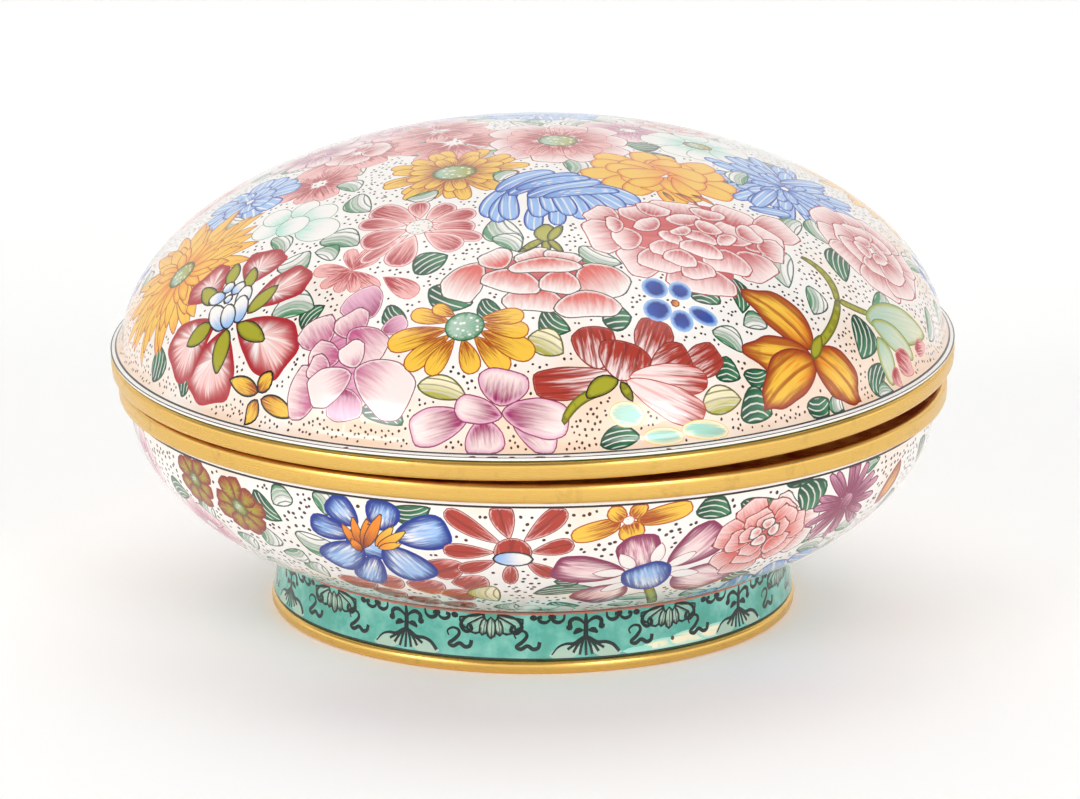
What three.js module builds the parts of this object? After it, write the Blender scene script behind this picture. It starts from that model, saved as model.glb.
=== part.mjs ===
import * as THREE from "three";

// Driving dimensions in millimetres. Z = 0 is the table and -Y is the front of the box.
const SEGMENTS = 64;
const WALL = 1.6; // copper with enamel on both sides
const SEAM = 0.1; // left between two pieces that are fixed to each other

const FOOT_RADIUS = 37.6;
const FOOT_HEIGHT = 8.7;
const FOOT_RIM_HEIGHT = 2;
const FOOT_RIM_WIDTH = 3;

const BOWL_RADIUS = 57.6;
const BOWL_CENTRE_Z = 31;
const BOWL_DEPTH = 28.8;
const BASE_Z = 6.2; // underside of the bowl inside the foot

const BOWL_RIM_RADIUS = 59.1;
const BOWL_RIM_TOP = 33.8;
const BOWL_RIM_HEIGHT = 2.9;
const COLLAR_HEIGHT = 3.6;
const COLLAR_RADIUS = 56.3;
const COLLAR_WALL = 1;

const LID_RIM_RADIUS = 60;
const LID_RIM_HEIGHT = 2.8;
const LID_RIM_WIDTH = 2.9;
const LID_LIP_RADIUS = 60.1;
const LID_NECK_RADIUS = 58.2;
const LID_NECK_HEIGHT = 6.4;
const LID_HEIGHT = 32.7;
const LID_CENTRE_HEIGHT = 2.6;
const LID_RADIUS = 58.7;

// The lid has been set down slightly askew: it touches at the front left and stands open at the back right.
const LID_TILT = THREE.MathUtils.degToRad(1.34);
const LID_CONTACT_AZIMUTH = THREE.MathUtils.degToRad(-128);
const LID_CONTACT_GAP = 0.3;

const at = (radius, height) => new THREE.Vector2(radius, height);

// Points on an ellipse about the axis, from one angle above the horizontal to another.
function ellipse(centre, radius, height, from, to, steps) {
  const points = [];
  for (let i = 0; i <= steps; i++) {
    const angle = from + ((to - from) * i) / steps;
    const onAxis = Math.abs(Math.abs(angle) - Math.PI / 2) < 1e-9;
    points.push(at(onAxis ? 0 : radius * Math.cos(angle), centre + height * Math.sin(angle)));
  }
  return points;
}

// Angle on an ellipse at which it has the given share of its full radius.
const angleAtRadius = (share) => Math.acos(share);

function turned(name, profile) {
  const geometry = new THREE.LatheGeometry(profile, SEGMENTS);
  geometry.rotateX(Math.PI / 2);
  const mesh = new THREE.Mesh(geometry);
  mesh.name = name;
  return mesh;
}

// A ring with its upper and lower outside edges slightly eased.
function band(inner, outerBottom, outerTop, bottom, top) {
  const ease = 0.35;
  return [
    at(inner, bottom),
    at(outerBottom - ease, bottom),
    at(outerBottom, bottom + ease),
    at(outerTop, top - ease),
    at(outerTop - ease, top),
    at(inner, top),
    at(inner, bottom),
  ];
}

function footRim() {
  const inner = FOOT_RADIUS - FOOT_RIM_WIDTH;
  return turned("foot_rim", band(inner, FOOT_RADIUS, FOOT_RADIUS, 0, FOOT_RIM_HEIGHT));
}

// Height of the outside of the bowl at a radius.
const bowlHeight = (radius) =>
  BOWL_CENTRE_Z - BOWL_DEPTH * Math.sqrt(1 - (radius / BOWL_RADIUS) ** 2);

function foot() {
  const bottom = FOOT_RIM_HEIGHT + SEAM;
  const outerTop = FOOT_RADIUS - 0.6;
  const innerTop = outerTop - WALL;
  return turned("foot", [
    at(FOOT_RADIUS - 0.3 - WALL, bottom),
    at(FOOT_RADIUS - 0.3, bottom),
    at(FOOT_RADIUS - 0.75, (FOOT_HEIGHT + FOOT_RIM_HEIGHT) / 2),
    at(outerTop, bowlHeight(outerTop) - SEAM),
    at(innerTop, bowlHeight(innerTop) - SEAM),
    at(FOOT_RADIUS - 0.3 - WALL, bottom),
  ]);
}

function bowl() {
  const top = BOWL_RIM_TOP - BOWL_RIM_HEIGHT - SEAM;
  const footJoint = FOOT_RADIUS - 0.6;
  const outerStart = angleAtRadius(footJoint / BOWL_RADIUS);
  const outerEnd = Math.asin((top - BOWL_CENTRE_Z) / BOWL_DEPTH);
  const outside = ellipse(BOWL_CENTRE_Z, BOWL_RADIUS, BOWL_DEPTH, -outerStart, outerEnd, 10);
  const inside = ellipse(BOWL_CENTRE_Z, BOWL_RADIUS - WALL, BOWL_DEPTH - WALL, outerEnd, -outerStart, 9);
  const innerTop = inside[0];
  innerTop.y = top;
  const underJoint = footJoint - WALL;
  return turned("bowl", [
    at(0, BASE_Z),
    at(footJoint - 12, BASE_Z + 0.3),
    at(underJoint, bowlHeight(underJoint)),
    ...outside,
    ...inside,
    at(footJoint - 12, BASE_Z + WALL + 0.3),
    at(0, BASE_Z + WALL),
  ]);
}

function bowlRim() {
  const bottom = BOWL_RIM_TOP - BOWL_RIM_HEIGHT;
  const inner = COLLAR_RADIUS - COLLAR_WALL;
  const ease = 0.35;
  return turned("bowl_rim", [
    at(inner, bottom),
    at(BOWL_RIM_RADIUS - ease, bottom),
    at(BOWL_RIM_RADIUS, bottom + ease),
    at(BOWL_RIM_RADIUS, BOWL_RIM_TOP - ease),
    at(BOWL_RIM_RADIUS - ease, BOWL_RIM_TOP),
    at(COLLAR_RADIUS, BOWL_RIM_TOP),
    at(COLLAR_RADIUS, BOWL_RIM_TOP + COLLAR_HEIGHT - 0.5),
    at(COLLAR_RADIUS - 0.3, BOWL_RIM_TOP + COLLAR_HEIGHT),
    at(inner, BOWL_RIM_TOP + COLLAR_HEIGHT),
    at(inner, bottom),
  ]);
}

function lidDome() {
  const rise = LID_HEIGHT - LID_CENTRE_HEIGHT;
  const bottom = LID_RIM_HEIGHT + SEAM;
  const neckAngle = Math.asin((LID_NECK_HEIGHT - LID_CENTRE_HEIGHT) / rise);
  const outside = ellipse(LID_CENTRE_HEIGHT, LID_RADIUS, rise, neckAngle, Math.PI / 2, 12);
  const inside = ellipse(LID_CENTRE_HEIGHT, LID_RADIUS - WALL, rise - WALL, Math.PI / 2, 0.08, 10);
  const flare = new THREE.QuadraticBezierCurve(
    at(LID_LIP_RADIUS, bottom + 0.5),
    at(LID_NECK_RADIUS, bottom + 0.9),
    outside[0],
  ).getPoints(4);
  flare.pop();
  return turned("lid_dome", [
    at(LID_RADIUS - WALL, bottom),
    at(LID_LIP_RADIUS - 0.3, bottom),
    ...flare,
    ...outside,
    ...inside,
    at(LID_RADIUS - WALL, bottom),
  ]);
}

function lidRim() {
  const inner = LID_RIM_RADIUS - LID_RIM_WIDTH;
  return turned("lid_rim", band(inner, LID_RIM_RADIUS, LID_RIM_RADIUS + 0.15, 0, LID_RIM_HEIGHT));
}

// The lid turns about the point where its rim touches the rim of the bowl.
function lid() {
  const contact = new THREE.Vector3(
    BOWL_RIM_RADIUS * Math.cos(LID_CONTACT_AZIMUTH),
    BOWL_RIM_RADIUS * Math.sin(LID_CONTACT_AZIMUTH),
    0,
  );
  const hinge = new THREE.Vector3(-Math.sin(LID_CONTACT_AZIMUTH), Math.cos(LID_CONTACT_AZIMUTH), 0);
  const upright = new THREE.Group();
  upright.position.copy(contact).negate();
  upright.add(lidRim(), lidDome());
  const askew = new THREE.Group();
  askew.position.set(contact.x, contact.y, BOWL_RIM_TOP + LID_CONTACT_GAP);
  askew.quaternion.setFromAxisAngle(hinge, LID_TILT);
  askew.add(upright);
  return askew;
}

const box = new THREE.Group();
box.add(footRim(), foot(), bowl(), bowlRim(), lid());

export default box;
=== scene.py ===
"""Round covered box of painted enamel on copper, with gilt rims and a turquoise foot."""

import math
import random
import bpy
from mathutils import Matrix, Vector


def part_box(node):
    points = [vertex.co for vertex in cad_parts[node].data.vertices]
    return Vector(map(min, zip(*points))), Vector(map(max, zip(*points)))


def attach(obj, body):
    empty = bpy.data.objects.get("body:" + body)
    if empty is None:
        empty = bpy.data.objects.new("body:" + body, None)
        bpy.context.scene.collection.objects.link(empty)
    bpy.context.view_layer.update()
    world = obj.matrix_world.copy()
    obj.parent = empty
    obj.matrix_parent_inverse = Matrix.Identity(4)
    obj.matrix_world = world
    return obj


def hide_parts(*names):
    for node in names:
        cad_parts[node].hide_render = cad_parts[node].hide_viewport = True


bl_info = {
    "name": "Painted Enamel Box",
    "version": (1, 0, 0),
    "blender": (4, 5, 0),
    "location": "View3D > Sidebar > Enamel Box",
    "description": "Builds a round covered box painted with flowers in fired enamel",
    "category": "Object",
}

from collections import namedtuple

import bpy
import numpy as np
from bpy.props import FloatProperty, FloatVectorProperty, PointerProperty
from mathutils import Matrix, Vector
from mathutils.geometry import delaunay_2d_cdt

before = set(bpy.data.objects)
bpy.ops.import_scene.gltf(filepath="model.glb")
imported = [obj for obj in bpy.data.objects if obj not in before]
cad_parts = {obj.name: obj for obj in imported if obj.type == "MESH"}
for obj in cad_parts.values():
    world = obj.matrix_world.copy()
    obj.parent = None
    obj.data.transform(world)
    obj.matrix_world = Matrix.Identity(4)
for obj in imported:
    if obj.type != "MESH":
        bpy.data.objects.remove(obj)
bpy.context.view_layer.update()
MM = 0.001
# Steps round every turned ring.
ROUND = 256
# Millimetres that count as nothing, and what keeps a division safe.
TINY = 1e-6
NEVER_ZERO = 1e-9


def node_span(node):
    """Half the width of a solid, and its lowest and highest point."""
    low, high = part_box(node)
    return (high[0] - low[0]) / 2, low[2], high[2]


FOOT_SPAN, _, FOOT_HIGH = node_span("foot_rim")
BOWL_RIM_SPAN, BOWL_RIM_LOW, COLLAR_HIGH = node_span("bowl_rim")
BOWL_SPAN, BASE_LOW, _ = node_span("bowl")


def linear(code):
    """Linear colour of an sRGB hex value."""
    parts = [int(code[i : i + 2], 16) / 255 for i in (0, 2, 4)]
    return tuple(p / 12.92 if p <= 0.04045 else ((p + 0.055) / 1.055) ** 2.4 for p in parts)


def length(label, text, default):
    """Property for a size in metres."""
    return FloatProperty(name=label, description=text, default=default, min=0, precision=4, unit="LENGTH")


def angle(label, text, degrees):
    """Property for an angle, given in degrees."""
    return FloatProperty(name=label, description=text, default=math.radians(degrees), unit="ROTATION")


def pigment(label, text, code):
    """Property for a colour, given as an sRGB hex value."""
    return FloatVectorProperty(
        name=label, description=text, subtype="COLOR", size=3, min=0, max=1, default=linear(code)
    )


class EnamelBoxSizes(bpy.types.PropertyGroup):
    """Sizes of the box, as turned profiles."""

    wall: length("Wall", "Copper with enamel on both sides", 0.0016)
    seam: length("Seam", "Soldered seam between a gilt rim and its shell", 0.0001)
    foot_radius: length("Foot radius", "Outside of the gilt foot rim", FOOT_SPAN)
    foot_rim_height: length("Foot rim height", "Height of the gilt foot rim", FOOT_HIGH)
    foot_rim_width: length("Foot rim width", "Width of the ring that the box stands on", 0.003)
    bowl_radius: length("Bowl radius", "Widest outside radius of the bowl's wall", BOWL_SPAN)
    bowl_centre: length("Bowl centre", "Height of the centre of the bowl's curve", 0.031)
    bowl_depth: length("Bowl depth", "Depth of the bowl's curve below its centre", 0.0288)
    base_height: length("Base height", "Underside of the bowl inside the foot", BASE_LOW)
    bowl_rim_radius: length("Bowl rim radius", "Outside of the bowl's gilt rim", BOWL_RIM_SPAN)
    bowl_rim_low: length("Bowl rim underside", "Lower edge of the bowl's gilt rim", BOWL_RIM_LOW)
    bowl_rim_height: length("Bowl rim height", "Height of the bowl's gilt rim", 0.0029)
    collar_radius: length("Collar radius", "Outside of the collar inside the lid", 0.0563)
    collar_wall: length("Collar wall", "Thickness of the collar", 0.001)
    collar_top: length("Collar top", "Upper edge of the collar", COLLAR_HIGH)
    lid_rim_radius: length("Lid rim radius", "Outside of the lid's gilt rim", 0.06)
    lid_rim_height: length("Lid rim height", "Height of the lid's gilt rim", 0.0028)
    lid_rim_width: length("Lid rim width", "Thickness of the lid's gilt rim", 0.0029)
    lid_radius: length("Lid radius", "Radius of the dome's curve", 0.0587)
    lid_height: length("Lid height", "From the lid's lower edge to its crown", 0.0327)
    lid_centre: length("Lid centre", "Height of the centre of the dome's curve above the lid's edge", 0.0026)
    lid_neck: length("Lid neck", "Height where the dome turns out to its lip", 0.0064)
    lid_lip: length("Lid lip", "Radius of the turned-out lip", 0.0601)
    lid_gap: length("Lid gap", "Gap left where the lid touches the bowl", 0.0003)
    lid_tilt: angle("Lid tilt", "How far askew the lid has been set down", 1.34)
    lid_contact: angle("Lid contact", "Direction in which the lid touches the bowl", -128)


class EnamelBoxColours(bpy.types.PropertyGroup):
    """Pigments of the painted enamels, and the metal."""

    white: pigment("White", "White ground of the flower painting", "f6f1ec")
    peach: pigment("Peach", "Warm wash on the ground near the edges", "f6d0b0")
    cream: pigment("Cream", "Pale ends of warm petals", "fbeecb")
    blush: pigment("Blush", "Palest pink of the petals", "fbe4e0")
    pink: pigment("Pink", "Light washes of the pink petals", "f0b3ae")
    rose: pigment("Rose", "Pink of the large peony", "d3635f")
    coral: pigment("Coral", "Red-pink of the carnation", "da5a50")
    cherry: pigment("Cherry", "Red inside the pink daisy's petals", "c2474c")
    crimson: pigment("Crimson", "Dark red petal edges", "ae212c")
    iron_red: pigment("Iron red", "Red drawn in thin washes on the bowl", "ad382a")
    brick: pigment("Brick", "Brown red of the half-open peony", "8d2c22")
    mauve: pigment("Mauve", "Violet pink of the peony", "c25a88")
    lilac: pigment("Lilac", "Pale violet pink", "e8b2c8")
    magenta: pigment("Magenta", "Throats of the violet flowers", "9c2860")
    plum: pigment("Plum", "Purple edges on the bowl", "8a2c55")
    yellow: pigment("Yellow", "Yellow petals", "f6c445")
    orange: pigment("Orange", "Orange petals", "ee8a1e")
    burnt: pigment("Burnt orange", "Brown shading on orange petals", "a8450f")
    olive: pigment("Olive", "Yellow green of stalks and sepals", "a9a528")
    moss: pigment("Moss", "Dark side of stalks and sepals", "625f16")
    leaf: pigment("Leaf", "Green of the leaves", "478c5e")
    pine: pigment("Pine", "Darkest green of the leaves", "164a30")
    sage: pigment("Sage", "Pale grey green", "a9c6b2")
    aqua: pigment("Aqua", "Pale turquoise of buds and seed heads", "9cdccb")
    sky: pigment("Sky", "Light blue petals", "98bdec")
    blue: pigment("Blue", "Mid blue petals", "2f63c0")
    cobalt: pigment("Cobalt", "Deep blue spots", "122f8c")
    turquoise: pigment("Turquoise", "Ground of the foot and of the inside", "54aa9b")
    teal: pigment("Teal black", "Scrolls drawn on the foot", "061d1a")
    ink: pigment("Ink", "Black outlines", "1b1512")
    umber: pigment("Umber", "Brown outlines and dots", "4b2c22")
    copper: pigment("Copper", "Metal bared by chips", "6e4630")
    gilt: pigment("Gilt", "Gilding on the rims", "e8bc66")
    floor: pigment("Floor", "Pale studio floor", "fafaf9")


def sizes():
    """The sizes in millimetres; angles stay in radians."""
    group = bpy.context.scene.enamel_box_sizes
    angles = ("lid_tilt", "lid_contact")
    found = {}
    for name in EnamelBoxSizes.__annotations__:
        value = getattr(group, name)
        found[name] = value if name in angles else value / MM
    return namedtuple("Sizes", found)(**found)


def colour(name):
    """A pigment as a shader colour."""
    return (*getattr(bpy.context.scene.enamel_box_colours, name), 1)


# How one enamel was brushed. The wash runs from base to tip between start and end, along the mark or, with
# side, across it, and comb is how far the hairs of the brush draw it out. Rim and ink follow the outline, and
# their widths are in millimetres. Around turns the streaks about the middle of the mark. Stripes and spots
# lie on top.
Paint = namedtuple(
    "Paint",
    "base tip start end rim rim_width comb ink ink_width around stripes stripe side spots",
    defaults=("white", "white", 0, 1, None, 0, 0.3, None, 0, False, 0, "white", False, None),
)
PAINTS = {
    "crimson_edged_petal": Paint(
        "white", "pink", 0.1, 1.0, "crimson", 2.8, 0.85, "crimson", 0.4, around=True
    ),
    "white_bud_petal": Paint("sky", "white", 0.1, 0.75, None, 0, 0.2, "ink", 0.34),
    "olive_sepal": Paint("olive", "olive", 0, 1, "moss", 0.6, 0.3, "ink", 0.24),
    "olive_stalk": Paint("olive", "olive", 0, 1, "moss", 0.5, 0.3, "moss", 0.2),
    "yellow_petal": Paint("yellow", "orange", 0.6, 1.3, "burnt", 0.3, 0.9, "burnt", 0.14),
    "orange_petal": Paint("burnt", "yellow", 0.1, 0.8, "yellow", 0.4, 0.7, "burnt", 0.24),
    "golden_petal": Paint("orange", "yellow", -0.2, 0.8, "orange", 0.6, 0.6, "burnt", 0.16),
    "outlined_yellow_petal": Paint("burnt", "yellow", -0.1, 0.75, "yellow", 0.4, 0.7, "ink", 0.42),
    "lily_petal": Paint(
        "orange", "yellow", -0.2, 0.6, "burnt", 2.0, 0.95, "brick", 0.34, stripes=3, stripe="burnt"
    ),
    "mauve_petal": Paint("mauve", "blush", 0.0, 1.15, "white", 0.5, 0.4, "plum", 0.24),
    "pale_mauve_petal": Paint("mauve", "blush", -0.15, 0.65, "white", 0.6, 0.25, "plum", 0.22),
    "deep_mauve_petal": Paint("magenta", "lilac", -0.1, 1.0, "blush", 0.4, 0.3, "plum", 0.16),
    "orchid_petal": Paint("magenta", "blush", 0.05, 0.9, "lilac", 0.9, 0.3, "plum", 0.24),
    "deep_coral_petal": Paint("coral", "blush", 0.15, 1.3, "blush", 0.5, 0.3, "brick", 0.24),
    "coral_petal": Paint("coral", "white", 0.15, 1.05, "white", 0.7, 0.25, "umber", 0.24),
    "rose_petal": Paint("cherry", "blush", 0.1, 1.0, "white", 0.7, 0.25, "crimson", 0.24),
    "rose_shade": Paint("rose", "cherry", 0, 1, None, 0, 0.7),
    "mauve_shade": Paint("mauve", "lilac", 0, 1, None, 0, 0.5),
    "brick_petal": Paint(
        "blush", "iron_red", 0.0, 0.75, "pink", 0.3, 0.8, "brick", 0.28, stripes=4, stripe="brick"
    ),
    "pale_brick_petal": Paint(
        "blush", "iron_red", 0.45, 1.05, None, 0, 0.6, "iron_red", 0.2, stripes=3, stripe="pink"
    ),
    "cherry_petal": Paint("pink", "crimson", 0.0, 1.05, "blush", 0.65, 0.8, "cherry", 0.17),
    "star_petal": Paint("crimson", "pink", 0.2, 0.85, "blush", 0.25, 0.9, "rose", 0.17),
    "bell_petal": Paint("blue", "sky", -0.3, 0.6, "blue", 0.6, 0.8, "cobalt", 0.22, stripes=3),
    "dotted_bell_petal": Paint("blue", "sky", -0.5, 0.6, "blue", 0.7, 0.7, "cobalt", 0.2, spots="white"),
    "cobalt_spot_petal": Paint("cobalt", "blue", 0.3, 1.3, "sky", 0.75, 0.1, "sky", 0.16),
    "gentian_petal": Paint("white", "sky", -0.2, 0.8, "cobalt", 1.9, 0.9, "cobalt", 0.4),
    "celadon_petal": Paint("aqua", "white", -0.2, 0.7, "white", 0.3, 0.3, "leaf", 0.16),
    "green_lily_petal": Paint("sage", "cream", -0.1, 1.5, "olive", 0.9, 0.5, "leaf", 0.2),
    "aqua_bud_petal": Paint("aqua", "sage", 0, 1.2, "cream", 0.9, 0.5, "yellow", 0.14),
    "green_leaf": Paint("pine", "leaf", 0.0, 1.2, None, 0, 0.4, "pine", 0.42, stripes=5),
    "sage_leaf": Paint("leaf", "white", 0.1, 0.8, None, 0, 0.25, "pine", 0.28, stripes=4, side=True),
    "yellow_leaf": Paint("olive", "cream", 0, 0.8, None, 0, 0.25, "moss", 0.32, stripes=4, side=True),
    "iron_red_petal": Paint(
        "pink", "iron_red", -0.3, 0.5, "blush", 0.34, 0.8, "brick", 0.18, stripes=2, stripe="brick"
    ),
    "plum_edged_petal": Paint("blush", "mauve", 0.1, 1.5, "plum", 2.0, 0.9, "plum", 0.34),
    "plum_petal": Paint("plum", "lilac", 0.15, 1.5, None, 0, 0.9, "plum", 0.26),
    "brown_olive_petal": Paint("olive", "burnt", 0.2, 1.1, "brick", 1.0, 0.8, "brick", 0.3, around=True),
    "aqua_seed_head": Paint(
        "sage", "leaf", 0.2, 1.3, "leaf", 0.9, 0.5, "pine", 0.22, around=True, spots="white"
    ),
    "olive_seed_head": Paint(
        "sage", "olive", 0, 1, "moss", 1.0, 0.4, "moss", 0.2, around=True, spots="cream"
    ),
    "pale_seed_head": Paint(
        "white", "blush", 0, 1.4, None, 0, 0.5, "cherry", 0.14, around=True, spots="sage"
    ),
    "white_lens": Paint("white", "white", 0, 1, "blush", 0.4, 0.2, "plum", 0.13),
    "brown_stamen": Paint("brick", "orange", 0, 0.7, None, 0, 0.4, "umber", 0.17),
    "yellow_stamen": Paint("orange", "yellow", 0, 1, None, 0, 0.4, "umber", 0.17),
    "brown_dot": Paint("umber", "umber", 0, 1, None, 0, 0.2),
    "black_line": Paint("ink", "umber", 0, 1, None, 0, 0.2),
    "teal_scroll": Paint("teal", "teal", 0, 1, None, 0, 0.2),
    "pale_scroll_petal": Paint("sage", "turquoise", 0.1, 1.1, None, 0, 0.6, "teal", 0.4),
    "grey_petal": Paint("sage", "teal", 0.5, 1.2, None, 0, 0.7, "teal", 0.34, stripes=2, stripe="teal"),
    "pale_leaf_wash": Paint("turquoise", "sage", -1, 0.2, None, 0, 0.7),
    "ivory_wear": Paint("cream", "aqua", 0.3, 1.2, "aqua", 0.5, 0.9),
    "copper_chip": Paint("copper", "umber", 0, 1, None, 0, 0.8),
    "pink_line": Paint("pink", "burnt", -10.5, -8.5, None, 0, 0.7),
}

# How much wider than listed the marks of these paints come out.
FULLNESS = {
    "crimson_edged_petal": 1.22, "green_leaf": 1.15, "sage_leaf": 1.1, "rose_petal": 1.26,
    "coral_petal": 1.1, "mauve_petal": 1.14, "cherry_petal": 1.12, "bell_petal": 1.1,
}
# Outline of a mark: the powers of its distance from base and tip that give its width.
SHAPES = {
    "round": (0.5, 0.5),
    "spoon": (0.95, 0.42),
    "fan": (0.62, 0.32),
    "strap": (0.4, 0.32),
    "leaf": (0.7, 0.85),
    "line": (0.06, 0.12),
}
# How far leaves listed without a bend curve to one side, as a share of their width.
LEAF_BEND = 0.3


def ring(x, y, count, inner, outer, width, turn=0, squash=1):
    """Petals set round a centre, each a little longer or shorter than the next."""
    petals = []
    for i in range(count):
        sway = 0.09 * math.sin(2.7 * i)
        stretch = 1 + 0.07 * math.sin(3.9 * i + turn)
        bearing = math.radians(turn) + 2 * math.pi * i / count + sway
        reach = outer * stretch
        across, up = math.cos(bearing), math.sin(bearing) * squash
        petals.append((x + inner * across, y + inner * up, x + reach * across, y + reach * up, width))
    return tuple(petals)


def disc(x, y, wide, high):
    """A round mark about a centre."""
    return ((x - wide / 2, y, x + wide / 2, y, high),)


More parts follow.
